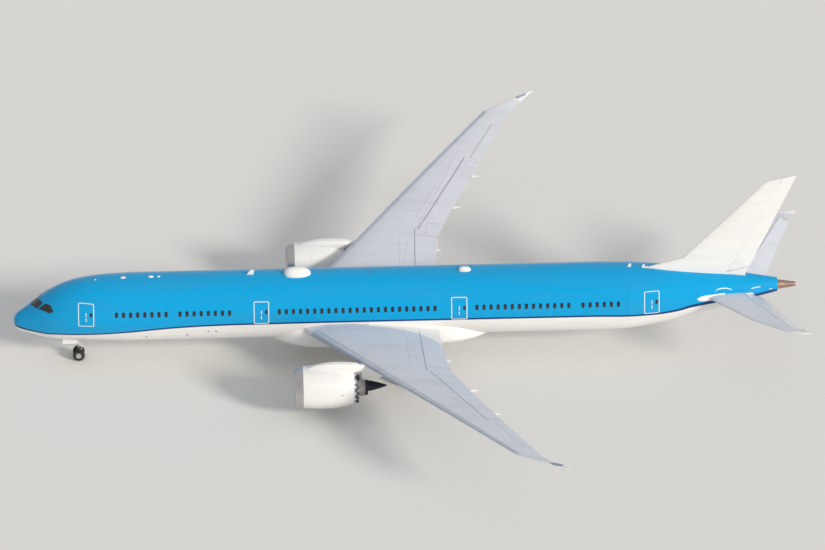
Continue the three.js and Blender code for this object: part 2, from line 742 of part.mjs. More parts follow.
function addTailplane() {
  const half = loft(
    tailplaneStations.map(([y, frontX, frontZ, backX, backZ, ratio]) =>
      aerofoil([frontX, y, frontZ], [backX, y, backZ], ratio * (backX - frontX), zUp),
    ),
  );
  const side = (grow) => {
    const body = fuselage(57, 65.9, grow);
    return body.add(mirrored(body));
  };
  const clear = half.subtract(side(seam));
  const { inner, outer } = elevatorHinge;
  const [a, b] = [surfaceAt(tailplaneStations, ...inner), surfaceAt(tailplaneStations, ...outer)];
  const noses = [a.half * noseFullness, b.half * noseFullness];
  const made = centreHinged(clear, [...inner, a.z], [...outer, b.z], noses, [1, 0, 0], {
    chord: 3,
    height: 0.9,
  });
  const { pins, bores } = hingePins(made.frame, [1]);
  // Upright walls along the body's widest line, so that the elevator's inner edge can swing past it.
  const tailStations = fuselageStations.filter(([x]) => x > 57);
  const walls = loft(
    tailStations.map(([x, z, width]) => {
      const out = width + elevatorRootGap;
      return [
        [x, -out, z - 1.5],
        [x, out, z - 1.5],
        [x, out, z + 1.5],
        [x, -out, z + 1.5],
      ];
    }),
  );
  const elevator = without(made.panel, [walls, ...bores]);
  addPair("elevator", turnedDown(elevator, made.frame, elevatorDroop), finishes.greyPaint);
  addPair("tailplane", largest(join([clear.subtract(made.space), ...pins])), finishes.greyPaint);
}

// A solid turned about an axis along X through the starboard engine.
function turned(profile, sides) {
  const points = profile.map(([x, r]) => new THREE.Vector2(r, x).multiplyScalar(millimetresPerMetre));
  const geometry = new THREE.LatheGeometry(points, sides);
  geometry.rotateZ(-Math.PI / 2);
  geometry.translate(...at(0, engine.y, engine.z).toArray());
  return solidOf(geometry);
}

function addEngines(wing) {
  const lipProfile = [
    ...nacelleOutside.filter(([x]) => x < lipEnd),
    [lipEnd, 1.795],
    [lipEnd, inletThroat],
    [24.1, inletThroat],
    nacelleOutside[0],
  ];
  addPair("inlet_lip", turned(lipProfile, engine.sides), finishes.bareMetal);

  // The cowl's last ring runs in and out, which gives its chevrons.
  const cowlStart = lipEnd + seam;
  const outside = [[cowlStart, 1.796], ...nacelleOutside.filter(([x]) => x > lipEnd + 0.2)];
  const inside = [
    [28.2, 1.5],
    [25.0, ductRadius],
    [cowlStart, inletThroat],
  ];
  const rows = [...outside, [29.38, 1.39], ...inside];
  const cowl = chevronRing(rows, outside.length - 1);
  addPair("fan_cowl", cowl, finishes.whitePaint);

  const vaneAngle = (2 * Math.PI) / guideVanes.count;
  const core = [turned(coreProfile, engine.coreSides)];
  for (let i = 0; i < guideVanes.count; i++) {
    const angle = vaneAngle * (i + 0.5);
    const reach = (radius, x, side) => {
      const [c, s] = [Math.cos(angle), Math.sin(angle)];
      return [x, engine.y + radius * c - side * s, engine.z + radius * s + side * c];
    };
    const ring = (radius) => [
      reach(radius, guideVanes.x, 0),
      reach(radius, guideVanes.x + guideVanes.chord / 2, 0.03),
      reach(radius, guideVanes.x + guideVanes.chord, 0),
      reach(radius, guideVanes.x + guideVanes.chord / 2, -0.03),
    ];
    core.push(loft([ring(0.7), ring(guideVanes.reach)]));
  }
  const shaftBore = rod(
    [coreProfile[0][0] - 0.1, engine.y, engine.z],
    [fan.shaftEnd + 2 * seam, engine.y, engine.z],
    boreRadius(fan.shaft),
  );
  addPair("engine_core", join(core).subtract(shaftBore), finishes.hotMetal);
  addPair("fan", fanWheel(), finishes.fanBlade);

  const pylon = loft(
    pylonStations.map(([x, half, low, high]) => [
      [x, engine.y - half, low],
      [x, engine.y + half, low],
      [x, engine.y + half, high - half * 0.75],
      [x, engine.y + half * 0.45, high],
      [x, engine.y - half * 0.45, high],
      [x, engine.y - half, high - half * 0.75],
    ]),
  );
  const [cowlEnd, cowlEndRadius] = nacelleOutside.at(-1);
  const cowlRows = [...nacelleOutside, [cowlEnd + seam, cowlEndRadius]];
  const cowlSpace = loft(cowlRows.map(([x, r]) => nacelleRing(x, r + 2 * seam)));
  const coreOutside = coreProfile.slice(1, 6).map(([x, r]) => [x, r + 2 * seam]);
  const nozzleEnd = coreProfile[5][0] + seam;
  const coreRows = [[coreOutside[0][0], 0], ...coreOutside, [nozzleEnd, coreOutside[4][1]], [nozzleEnd, 0]];
  const coreSpace = turned(coreRows, engine.coreSides);
  const grown = join([wing, wing.translate(-0.4, 0, 0), wing.translate(0, 0, -0.4)]);
  const cut = without(pylon, [cowlSpace, coreSpace, grown]);
  addPair("pylon", largest(cut), finishes.whitePaint);
}

// A ring about the engine's axis, with every other point moved forward by `back`.
const nacelleRing = (x, r, back = 0) =>
  Array.from({ length: engine.sides }, (_, i) => {
    const angle = (2 * Math.PI * (i + 0.5)) / engine.sides;
    return [x - (i % 2 ? back : 0), engine.y + r * Math.cos(angle), engine.z + r * Math.sin(angle)];
  });

// A wall turned about the engine's axis, from rows of x and radius.
// The row at `edge` and the next one run in and out.
function chevronRing(rows, edge) {
  const sides = engine.sides;
  const points = rows
    .flatMap(([x, r], k) => nacelleRing(x, r, k === edge || k === edge + 1 ? chevronDepth : 0))
    .map((p) => at(...p));
  const triangles = [];
  for (let k = 0; k < rows.length; k++)
    for (let i = 0; i < sides; i++) {
      const j = (i + 1) % sides;
      const next = (k + 1) % rows.length;
      const [a, b, c, d] = [k * sides + i, k * sides + j, next * sides + j, next * sides + i];
      triangles.push(a, b, c, a, c, d);
    }
  const positions = points.flatMap((p) => p.toArray());
  const solid = closed(positions, triangles);
  return solid.volume() < 0 ? closed(positions, triangles.reverse()) : solid;
}

// Spinner, hub and twisted blades.
function fanWheel() {
  const hub = turned(
    [
      [fan.spinner, 0],
      [fan.spinner + 0.12, 0.16],
      [fan.spinner + 0.4, 0.33],
      [fan.x + 0.05, fan.hub],
      [fan.x + 0.28, 0.5],
      [fan.x + 0.28, 0],
    ],
    18,
  );
  const pieces = [hub, rod([fan.x + 0.2, engine.y, engine.z], [fan.shaftEnd, engine.y, engine.z], fan.shaft)];
  for (let i = 0; i < fan.blades; i++) {
    const angle = (2 * Math.PI * i) / fan.blades;
    const ring = (radius, twist, chord) => {
      const corner = (along, side) => {
        const x = fan.x + 0.12 + along * Math.cos(twist) - side * Math.sin(twist);
        const across = along * Math.sin(twist) + side * Math.cos(twist);
        const [c, s] = [Math.cos(angle), Math.sin(angle)];
        const r = Math.sqrt(radius ** 2 - across ** 2);
        return [x, engine.y + r * c - across * s, engine.z + r * s + across * c];
      };
      return [corner(-chord / 2, 0), corner(0, 0.012), corner(chord / 2, 0), corner(0, -0.012)];
    };
    pieces.push(loft([ring(fan.hub - 0.06, 0.35, 0.3), ring(fan.tip, 1.05, 0.42)]));
  }
  return join(pieces);
}

// Two wheels on their axle, at a place along X and Y, with a flat facet of each tyre on the ground.
function wheelPair({ x, y, radius, tyreWidth, halfTrack, hubRadius, axleRadius }) {
  const height = radius * Math.cos(Math.PI / wheelSides);
  const half = tyreWidth / 2;
  const wheel = (side) => {
    const shoulder = hubRadius + (radius - hubRadius) * 0.6;
    const profile = [
      [-0.3 * half, 0],
      [-0.3 * half, hubRadius],
      [-0.88 * half, hubRadius],
      [-half, shoulder],
      [-0.66 * half, radius],
      [0.66 * half, radius],
      [half, shoulder],
      [0.88 * half, hubRadius],
      [0.3 * half, hubRadius],
      [0.3 * half, 0],
    ];
    const geometry = new THREE.LatheGeometry(
      profile.map(([along, r]) => new THREE.Vector2(r, along).multiplyScalar(millimetresPerMetre)),
      wheelSides,
    );
    geometry.rotateY(Math.PI / 2 + Math.PI / wheelSides);
    geometry.translate(...at(x, y + side * halfTrack, height).toArray());
    return solidOf(geometry);
  };
  const reach = halfTrack + 0.35 * half;
  return join([
    wheel(-1),
    wheel(1),
    rod([x, y - reach, height], [x, y + reach, height], axleRadius, axleRadius, rodSides, Math.PI / rodSides),
  ]);
}

const axleBore = (radius, x, y, z, half) => rod([x, y - half, z], [x, y + half, z], boreRadius(radius));

function addNoseGear() {
  const { x, radius, wellTop } = noseGear;
  const height = radius * Math.cos(Math.PI / wheelSides);
  const axleRadius = 0.07;
  const strutEnd = 1.55;
  const leg = join([
    rod([x, 0, strutEnd], [x, 0, wellTop - seam], 0.15, 0.17),
    rod([x, 0, 2.2], [x - 0.68, 0, wellTop - 0.16], 0.07),
    rod([x - 0.66, -0.3, wellTop - 0.15], [x - 0.66, 0.3, wellTop - 0.15], 0.1),
    rod([x, -0.34, 2.76], [x, 0.34, 2.76], 0.09),
    rod([x - 0.15, -0.26, 2.06], [x - 0.15, 0.26, 2.06], 0.085),
  ]);
  addPart("nose_leg", leg, finishes.gearPaint);
  const steering = join([
    rod([x, 0, height], [x, 0, strutEnd - pinClearance], 0.1),
    rod([x, 0, strutEnd - 0.13], [x, 0, strutEnd - pinClearance], 0.16),
    rod([x, -0.13, height], [x, 0.13, height], 0.13),
    rod([x, 0, 1.35], [x + 0.34, 0, 1.1], 0.05, 0.04),
    rod([x + 0.34, 0, 1.12], [x + 0.05, 0, 0.72], 0.04, 0.05),
    block([x - noseGear.towReach, -0.06, 0.62], [x, 0.06, 0.74]),
  ]).subtract(axleBore(axleRadius, x, 0, height, 0.3));
  addPart("nose_steering", steering, finishes.gearPaint);
  const wheels = wheelPair({ ...noseGear, y: 0, hubRadius: 0.25, axleRadius });
  addPart("nose_wheels", wheels, finishes.tyre);
}

function addMainGear(carriers) {
  const { x, y, radius, axleGap, topX, beamOverhang } = mainGear;
  const height = radius * Math.cos(Math.PI / wheelSides);
  const axleRadius = 0.09;
  const wing = surfaceAt(wingStations, topX, y);
  const top = wing.z - wing.half;
  const beamEnds = [x - axleGap / 2, x + axleGap / 2];
  const pieces = [
    rod([x, y, height], [x, y, 1.7], 0.15),
    rod([x, y, 1.5], [topX, y, top - 0.02], 0.22, 0.24),
    rod([topX, y - 0.5, top - 0.2], [topX, y + 0.4, top - 0.2], 0.12),
    rod([x - 0.2, y, 2.3], [32.6, y, top - 0.05], 0.09),
    rod([x - 0.1, y - 0.1, 2.2], [34.1, 3.5, 3.4], 0.1),
    rod([beamEnds[0] - beamOverhang, y, height], [beamEnds[1] + beamOverhang, y, height], 0.17),
    ...beamEnds.map((end) => rod([end, y - 0.2, height], [end, y + 0.2, height], 0.17)),
    block([topX - 0.55, y + 0.62, 1.7], [topX + 0.75, y + 0.67, top - 0.35]),
    rod([topX + 0.25, y, 2.6], [topX + 0.25, y + 0.64, 2.6], 0.06),
  ];
  const bores = beamEnds.map((end) => axleBore(axleRadius, end, y, height, 0.4));
  const leg = without(join(pieces), [...bores, ...carriers]);
  addPair("main_leg", largest(leg), finishes.gearPaint);
  for (const [index, end] of beamEnds.entries()) {
    const place = index ? "rear" : "front";
    const wheels = wheelPair({ ...mainGear, x: end, hubRadius: 0.3, axleRadius });
    addPair(`main_wheels_${place}`, wheels, finishes.tyre);
  }
}

addFuselage();
const fairingSpace = addFairing();
const starboardWing = addWings(fairingSpace);
addFin();
addTailplane();
addEngines(starboardWing);
addNoseGear();
const wingSpace = join([0, 1, 2].map((step) => starboardWing.translate(0, 0, -0.3 * step)));
addMainGear([wingSpace, fairingSpace]);

export default airliner;
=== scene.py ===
from bisect import bisect_right
from functools import partial, reduce
from math import asin, atan2, copysign, cos, hypot, pi, radians, sin, sqrt

import bmesh
import bpy
from mathutils import Matrix, Vector


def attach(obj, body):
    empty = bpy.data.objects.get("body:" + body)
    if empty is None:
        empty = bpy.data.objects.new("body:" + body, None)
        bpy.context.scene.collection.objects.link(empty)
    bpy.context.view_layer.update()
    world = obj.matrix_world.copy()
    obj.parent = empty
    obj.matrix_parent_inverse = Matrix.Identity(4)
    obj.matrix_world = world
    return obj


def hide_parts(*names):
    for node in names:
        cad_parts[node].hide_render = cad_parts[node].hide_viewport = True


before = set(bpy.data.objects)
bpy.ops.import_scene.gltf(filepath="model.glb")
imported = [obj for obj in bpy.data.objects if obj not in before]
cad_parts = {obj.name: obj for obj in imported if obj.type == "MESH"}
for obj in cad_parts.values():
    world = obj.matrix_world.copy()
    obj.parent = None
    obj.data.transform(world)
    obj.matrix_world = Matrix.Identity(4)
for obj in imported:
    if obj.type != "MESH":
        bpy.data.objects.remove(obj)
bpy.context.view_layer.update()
print("frame loaded")

# Tables hold real metres: x aft of the nose, y to starboard, z above the ground. The model is half that size.
modelScale = 0.5
realLength = 68.28


def at(x, y, z):
    return Vector((x - realLength / 2, y, z)) * modelScale


# The camera of the photograph, fitted to the aircraft's published sizes.
camera = {
    "azimuth": -2.707,
    "elevation": 32.653,
    "roll": 0.17,
    "distance": 557.5,
    "lens": 564.68,
    "aim": (0.125, 0, 3.87),
}


def addObject(name, data):
    item = bpy.data.objects.new(name, data)
    bpy.context.scene.collection.objects.link(item)
    return item


def placeCamera():
    data = bpy.data.cameras.new("photoCamera")
    data.lens = camera["lens"]
    data.sensor_width = 36
    data.clip_start = 1
    data.clip_end = 6000
    place = (Matrix.Rotation(radians(camera["azimuth"]), 4, "Z")
             @ Matrix.Rotation(radians(90 - camera["elevation"]), 4, "X")
             @ Matrix.Rotation(radians(camera["roll"]), 4, "Z"))
    place.translation = Vector(camera["aim"]) + place.col[2].xyz * camera["distance"]
    item = addObject("photoCamera", data)
    item.matrix_world = place
    bpy.context.scene.camera = item


# Fuselage: x, z of the greatest width, half width, height above it, depth below it.
fuselageStations = [
    (0, 4.04, 0.05, 0.05, 0.05), (0.15, 4.04, 0.5, 0.53, 0.636), (0.55, 4.06, 0.82, 0.88, 0.96),
    (1.25, 4.15, 1.2, 1.31, 1.21), (2.1, 4.35, 1.62, 1.8, 1.6), (3.06, 4.62, 2.02, 2.16, 2.09),
    (4.27, 4.92, 2.36, 2.46, 2.53), (5.5, 5.13, 2.6, 2.62, 2.77), (6.8, 5.22, 2.76, 2.74, 2.88),
    (8.3, 5.26, 2.85, 2.83, 2.97), (10.8, 5.28, 2.885, 2.885, 3.055), (50, 5.28, 2.885, 2.885, 3.055),
    (52.5, 5.29, 2.86, 2.83, 3), (55, 5.38, 2.64, 2.6, 2.72), (57.9, 5.55, 2.2, 2.13, 2.26),
    (61.3, 5.75, 1.58, 1.5, 1.66), (64, 5.9, 1.02, 0.98, 1.06), (65.9, 5.98, 0.6, 0.6, 0.6),
]


# A smooth curve through the rows of a table, which never overshoots them: its values at a place.
def smoothRow(rows, place):
    keys = [row[0] for row in rows]
    i = max(0, min(len(rows) - 2, bisect_right(keys, place) - 1))
    span = keys[i + 1] - keys[i]
    t = min(1, max(0, (place - keys[i]) / span))
    values = []
    for column in range(1, len(rows[0])):
        def slope(k):
            return (rows[k + 1][column] - rows[k][column]) / (keys[k + 1] - keys[k])

        def tangent(k):
            if k == 0 or k == len(rows) - 1:
                return slope(min(k, len(rows) - 2))
            before, after = slope(k - 1), slope(k)
            return 0 if before * after <= 0 else 2 * before * after / (before + after)

        a, b = rows[i][column], rows[i + 1][column]
        values.append(a * (1 + 2 * t) * (1 - t) ** 2 + b * t * t * (3 - 2 * t)
                      + tangent(i) * span * t * (1 - t) ** 2 - tangent(i + 1) * span * t * t * (1 - t))
    return values


# The nose is blunt, so its rows are taken along the square root of x.
rootedStations = [(sqrt(row[0]), *row[1:]) for row in fuselageStations]


def bodySection(x):
    return smoothRow(rootedStations, sqrt(max(0, x)))


# A point of the fuselage skin, by x and the angle up from starboard, moved out by `proud`.
def onBody(x, angle, proud=0):
    middle, width, above, below = bodySection(x)
    rise, out = sin(angle), cos(angle)
    return at(x, (width + proud) * out, middle + ((above if rise > 0 else below) + proud) * rise)


def bodyAngle(x, z):
    middle, width, above, below = bodySection(x)
    return asin(max(-1, min(1, (z - middle) / (above if z > middle else below))))


def meshData(name, mesh):
    data = bpy.data.meshes.new(name)
    mesh.to_mesh(data)
    mesh.free()
    return data


# Turns a finished bmesh into a piece that rides on a body.
def newPiece(name, mesh, finish, replaces=(), body="airframe", sharpAngle=30):
    limit = radians(sharpAngle)
    for face in mesh.faces:
        face.smooth = True
    for edge in mesh.edges:
        edge.smooth = len(edge.link_faces) == 2 and edge.calc_face_angle(0) < limit
    item = addObject(name, meshData(name, mesh))
    for material in finish if isinstance(finish, list) else [finish]:
        item.data.materials.append(material)
    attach(item, body)
    if replaces:
        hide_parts(*replaces)
    return item


# A sheet of quads whose points come from surface(u, v), with u and v from 0 to 1.
def sheetMesh(surface, across, along):
    mesh = bmesh.new()
    bmesh.ops.create_grid(mesh, x_segments=across, y_segments=along, size=0.5)
    for vertex in mesh.verts:
        vertex.co = surface(vertex.co.x + 0.5, vertex.co.y + 0.5)
    bmesh.ops.remove_doubles(mesh, verts=mesh.verts, dist=1e-5)
    return mesh


# Turns the faces of a closed mesh outwards.
def outward(mesh):
    bmesh.ops.recalc_face_normals(mesh, faces=mesh.faces)
    if mesh.calc_volume(signed=True) < 0:
        bmesh.ops.reverse_faces(mesh, faces=mesh.faces)
    return mesh


def closeEnds(mesh):
    bmesh.ops.holes_fill(mesh, edges=[e for e in mesh.edges if e.is_boundary], sides=0)
    return outward(mesh)


def thickened(mesh, thickness):
    bmesh.ops.solidify(mesh, geom=mesh.faces[:], thickness=thickness)
    return outward(mesh)


def rounded(mesh, geom, offset, segments=2, affect="EDGES"):
    bmesh.ops.bevel(mesh, geom=geom, offset=offset, segments=segments, profile=0.5, affect=affect, material=-1)


def gather(meshes):
    whole = bmesh.new()
    for mesh in meshes:
        data = meshData("part", mesh)
        whole.from_mesh(data)
        bpy.data.meshes.remove(data)
    return whole


def mirrored(mesh):
    other = mesh.copy()
    bmesh.ops.scale(other, vec=(1, -1, 1), verts=other.verts)
    bmesh.ops.reverse_faces(other, faces=other.faces)
    return other


def bothSides(meshes):
    return gather(meshes + [mirrored(mesh) for mesh in meshes])


# A piece for each side of the aircraft from the starboard one's mesh.
def newPair(name, mesh, finish, replaces=(), onBodies=None, sharpAngle=30):
    for side, shape in (("port", mirrored(mesh)), ("starboard", mesh)):
        body = f"{onBodies}_{side}" if onBodies else "airframe"
        newPiece(f"{name}_{side}", shape, finish, [f"{n}_{side}" for n in replaces], body, sharpAngle)


def block(low, high, rounding=0):
    a, b = at(*low), at(*high)
    mesh = bmesh.new()
    place = Matrix.Translation((a + b) / 2) @ Matrix.Diagonal((*(b - a), 1))
    bmesh.ops.create_cube(mesh, size=1, matrix=place)
    if rounding:
        rounded(mesh, mesh.edges[:], rounding * modelScale)
    return outward(mesh)


# A shape turned about the line from one real point to another. Rows: share of the way along, radius.
def turned(start, end, rows, sides=24, closedLoop=False):
    a, b = at(*start), at(*end)
    length = (b - a).length
    mesh = bmesh.new()
    points = [mesh.verts.new((radius * modelScale, 0, share * length)) for share, radius in rows]
    edges = [mesh.edges.new(pair) for pair in zip(points, points[1:])]
    if closedLoop:
        edges.append(mesh.edges.new((points[-1], points[0])))
    bmesh.ops.spin(mesh, geom=points + edges, cent=(0, 0, 0), axis=(0, 0, 1), angle=2 * pi, steps=sides,
                   use_merge=True)
    bmesh.ops.remove_doubles(mesh, verts=mesh.verts, dist=1e-5)
    turn = (b - a).to_track_quat("Z", "Y").to_matrix().to_4x4()
    bmesh.ops.transform(mesh, matrix=Matrix.Translation(a) @ turn, verts=mesh.verts)
    return closeEnds(mesh)


# A round bar with softened ends, and collars at the given shares of its length.
def bar(start, end, radius, endRadius=None, collars=(), sides=20):
    endRadius = radius if endRadius is None else endRadius
    length = (at(*end) - at(*start)).length / modelScale
    soft = min(0.25 * min(radius, endRadius), 0.02) / length
    rows = [(0, 0), (0, radius - soft * length), (soft, radius)]
    for share in collars:
        here = radius + (endRadius - radius) * share
        half = 0.35 * here / length
        rows += [(share + way * half, here * size) for way, size in ((-1, 1), (-1, 1.22), (1, 1.22), (1, 1))]
    rows += [(1 - soft, endRadius), (1, endRadius - soft * length), (1, 0)]
    return turned(start, end, rows, sides)


# The engine's axis, the steps of a turn, and the drain outboard: x, radii, angle up, its own radius.
engine = {"y": 9.85, "z": 2.9, "steps": 96, "drain": (27.85, (1.72, 1.812), radians(6.8), 0.075)}


def besideEngine(x, radius, angle, across=0):
    c, s = cos(angle), sin(angle)
    return x, engine["y"] + radius * c - across * s, engine["z"] + radius * s + across * c


# A shape turned about the starboard engine's axis, from rows of real x and radius.
def aroundEngine(rows, closedLoop=True, steps=None):
    low, high = min(r[0] for r in rows), max(r[0] for r in rows)
    return turned(besideEngine(low, 0, 0), besideEngine(high, 0, 0),
                  [((x - low) / (high - low), r) for x, r in rows], steps or engine["steps"], closedLoop)


# A ring of thin sheets about the engine's axis, from surface(u, v, angle).
def sheetRing(count, surface, across, along, thickness):
    ring = []
    for angle in (2 * pi * k / count for k in range(count)):
        sheet = sheetMesh(lambda u, v: at(*surface(u, v, angle)), across, along)
        ring.append(thickened(sheet, thickness))
    return ring


# A plate that lies on the fuselage. Its outline is (x, angle) points. `rim` keeps only an edge that wide.
def skinPlate(outline, inner, outer, corner=0, rim=0, step=0.3):
    radius = 2.885
    mesh = bmesh.new()
    corners = [mesh.verts.new((x, angle * radius, 0)) for x, angle in outline]
    mesh.faces.new(corners)
    if corner:
        rounded(mesh, corners, corner, 4, "VERTICES")
    if rim:
        bmesh.ops.inset_region(mesh, faces=mesh.faces[:], thickness=rim, use_even_offset=True,
                               use_boundary=True)
        middle = sorted(mesh.faces, key=lambda f: len(f.verts))[-1]
        bmesh.ops.delete(mesh, geom=[middle], context="FACES")
    for normal in (Vector((1, 0, 0)), Vector((0, 1, 0))):
        places = [v.co.dot(normal) for v in mesh.verts]
        low, high = min(places), max(places)
        cuts = int((high - low) / step)
        for k in range(1, cuts + 1):
            bmesh.ops.bisect_plane(mesh, geom=mesh.verts[:] + mesh.edges[:] + mesh.faces[:],
                                   plane_co=normal * (low + (high - low) * k / (cuts + 1)), plane_no=normal)
    made = bmesh.ops.extrude_face_region(mesh, geom=mesh.faces[:])["geom"]
    raised = {g for g in made if isinstance(g, bmesh.types.BMVert)}
    for vertex in mesh.verts:
        vertex.co = onBody(vertex.co.x, vertex.co.y / radius, outer if vertex in raised else inner)
    return outward(mesh)


# An upright plate between two x and two z, and the edges of one about a middle.
def patch(edges, *values, **more):
    x0, x1, z0, z1 = edges
    corners = ((x0, z0), (x1, z0), (x1, z1), (x0, z1))
    return skinPlate([(x, bodyAngle(x, z)) for x, z in corners], *values, **more)


def edgesAbout(x, z, wide, tall):
    return x - wide, x + wide, z - tall, z + tall


# Cuts a closed mesh out of a piece.
def carve(item, cutter):
    tool = addObject("cutter", meshData("cutter", cutter))
    cut = item.modifiers.new("cut", "BOOLEAN")
    cut.operation = "DIFFERENCE"
    cut.solver = "EXACT"
    cut.object = tool
    finished = bpy.data.meshes.new_from_object(item.evaluated_get(bpy.context.evaluated_depsgraph_get()))
    item.modifiers.clear()
    old, item.data = [item.data, tool.data], finished
    bpy.data.objects.remove(tool)
    for data in old:
        bpy.data.meshes.remove(data)
    finished.name = item.name


# A CAD node's mesh with its doubles merged and its soft edges shaded smooth.
def smoothedNode(name, finish, body="airframe", sharpAngle=28):
    mesh = bmesh.new()
    mesh.from_mesh(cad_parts[name].data)
    bmesh.ops.remove_doubles(mesh, verts=mesh.verts, dist=1e-5)
    bmesh.ops.dissolve_limit(mesh, angle_limit=radians(0.3), verts=mesh.verts, edges=mesh.edges)
    item = newPiece(name + "_skin", outward(mesh), finish, [name], body, sharpAngle)
    item.modifiers.new("weightedNormals", "WEIGHTED_NORMAL").keep_sharp = True


# Materials.
def colour(hexValue):
    parts = [int(hexValue[i:i + 2], 16) / 255 for i in (1, 3, 5)]
    return tuple(p / 12.92 if p <= 0.04045 else ((p + 0.055) / 1.055) ** 2.4 for p in parts) + (1,)


# Adds a node to the tree of the sockets that it is given, and gives one of its outputs.
def node(kind, inputs, output=0, **settings):
    inputs = inputs if isinstance(inputs, dict) else dict(enumerate(inputs))
    tree = next(value.id_data for value in inputs.values() if isinstance(value, bpy.types.NodeSocket))
    made = tree.nodes.new("ShaderNode" + kind)
    for key, value in settings.items():
        setattr(made, key, value)
    for socket, value in inputs.items():
        if isinstance(value, bpy.types.NodeSocket):
            tree.links.new(value, made.inputs[socket])
        else:
            made.inputs[socket].default_value = value
    return made.outputs[output]


def combined(operation, *values):
    return reduce(lambda a, b: node("Math", (a, b), operation=operation), values)


product, largest, minus, plus = (partial(combined, name) for name in ("MULTIPLY", "MAXIMUM", "SUBTRACT", "ADD"))


# 1 where a value is above a limit and 0 where it is below, with a soft step between.
def above(value, limit, blur=0.012):
    return node("MapRange", {"Value": minus(value, limit), "From Min": -blur / 2, "From Max": blur / 2})


def below(value, limit, blur=0.012):
    return above(limit, value, blur)


# 1 within half a width of a place.
def line(value, place, width):
    away = node("Math", (minus(value, place),), operation="ABSOLUTE")
    return below(away, width / 2, width * 0.4)


# A value that wanders from low to high. The scale is in repeats a metre.
def uneven(place, scale, low=0, high=1, detail=4, stretch=None, span=(0.3, 0.7)):
    if stretch:
        place = node("Mapping", {"Vector": place, "Scale": stretch})
    grain = node("TexNoise", {"Vector": place, "Scale": scale, "Detail": detail, "Roughness": 0.55})
    return node("MapRange", {"Value": grain, "From Min": span[0], "From Max": span[1],
                             "To Min": low, "To Max": high})


# Lays a colour over a base where all the shares are 1.
def paintOver(base, coat, *shares):
    base, coat = (colour(paint) if isinstance(paint, str) else paint for paint in (base, coat))
    return node("Mix", {0: product(*shares), 6: base, 7: coat}, 2, data_type="RGBA")


# A material, its shader, the real place in metres, and that place's x, distance aside and z.
def newMaterial(name, **values):
    made = bpy.data.materials.new(name)
    made.use_nodes = True
    shader = made.node_tree.nodes["Principled BSDF"]
    for key, value in values.items():
        shader.inputs[key.replace("_", " ")].default_value = value
    place = node("Mapping", {"Vector": made.node_tree.nodes.new("ShaderNodeTexCoord").outputs["Object"],
                             "Location": (realLength / 2, 0, 0), "Scale": (1 / modelScale,) * 3})
    x, y, z = node("SeparateXYZ", (place,)).node.outputs
    return made, shader, place, (x, node("Math", (y,), operation="ABSOLUTE"), z)


# Gives a shader its colour, its gloss and, from a height, its relief.
def dress(shader, base, roughness, height=None, strength=0.1, depth=0.003):
    values = {"Base Color": base, "Roughness": roughness}
    if height:
        values["Normal"] = node("Bump", {"Height": height, "Strength": strength, "Distance": depth})
    for socket, value in values.items():
        shader.id_data.links.new(value, shader.inputs[socket])


# Dirt, orange peel and uneven gloss of sprayed paint, laid over a base colour.
def weather(shader, place, base, dirt, roughness, bump=0.12):
    streaks = uneven(place, 0.9, 0, dirt, 6, (0.12, 1, 1.6), (0.42, 0.8))
    dirtied = paintOver(base, "#6B6761", streaks, uneven(place, 0.22, 0.3, 1, 3))
    gloss = uneven(place, 0.22, roughness * 0.8, roughness * 1.3, 3)
    dress(shader, dirtied, gloss, uneven(place, 7, detail=2, span=(0, 1)), bump, 0.004)


# Sprayed polyurethane on the fuselage: sky blue over white with a dark line between. Gloss with faint streaks.
livery = {
    "blue": "#00A2DC",
    "line": "#0A3F7A",
    "white": "#F2F1EE",
    # The blue's lower edge, and how wide the dark line below it is: x, metres.
    "border": [(0, 3.9), (0.79, 3.85), (1.44, 3.82), (2.62, 3.8), (3.4, 3.87), (4.28, 3.94), (5.3, 4),
               (9.94, 4.4), (12.1, 4.645), (14.24, 4.84), (17.7, 4.99), (21.5, 5.03), (34, 5.06), (50, 5.05),
               (52.2, 4.98), (54.8, 4.94), (57.4, 5.15), (58.2, 5.36), (59, 5.47), (60.3, 5.6), (64.2, 5.68),
               (65, 5.8), (65.9, 5.88)],
    "lineWidth": [(0, 0.2), (6, 0.18), (50, 0.19), (54, 0.2), (57, 0.27), (59.7, 0.33), (64.4, 0.4),
                  (65.9, 0.42)],
    # The white strip on the crown beside the fin: its half width, x of its ends, z that it stays above.
    "crown": [(0, 0), (53.9, 0), (54.2, 0.1), (54.85, 0.17), (56.5, 0.1), (58, 0.06), (60, 0.06),
              (61.75, 0.09), (63.13, 0.12), (65.9, 0.12)],
    "crownSpan": (54.2, 63.15),
    "crownFoot": 6.2,
}


# The value of a table of (x, value) rows at a place along the fuselage.
def alongBody(x, rows, top):
    value = node("FloatCurve", {"Value": node("Math", (x, realLength), operation="DIVIDE")})
    points = value.node.mapping.curves[0].points
    while len(points) < len(rows):
        points.new(0.5, 0.5)
    for point, (place, height) in zip(points, rows):
        point.location = (place / realLength, height / top)
        point.handle_type = "AUTO_CLAMPED"
    value.node.mapping.update()
    return product(value, top)


def liveryPaint():
    made, shader, place, (x, y, z) = newMaterial("polyurethane_livery", Coat_Weight=0.1, Coat_Roughness=0.1,
                                                 Specular_IOR_Level=0.22)
    border = alongBody(x, livery["border"], 10)
    lineFoot = minus(border, alongBody(x, livery["lineWidth"], 1))
    painted = paintOver(livery["white"], livery["line"], above(z, lineFoot))
    painted = paintOver(painted, livery["blue"], above(z, border))
    start, end = livery["crownSpan"]
    painted = paintOver(painted, livery["white"], above(z, livery["crownFoot"]), above(x, start),
                        below(x, end), below(y, alongBody(x, livery["crown"], 1)))
    weather(shader, place, painted, 0.16, 0.24)
    return made


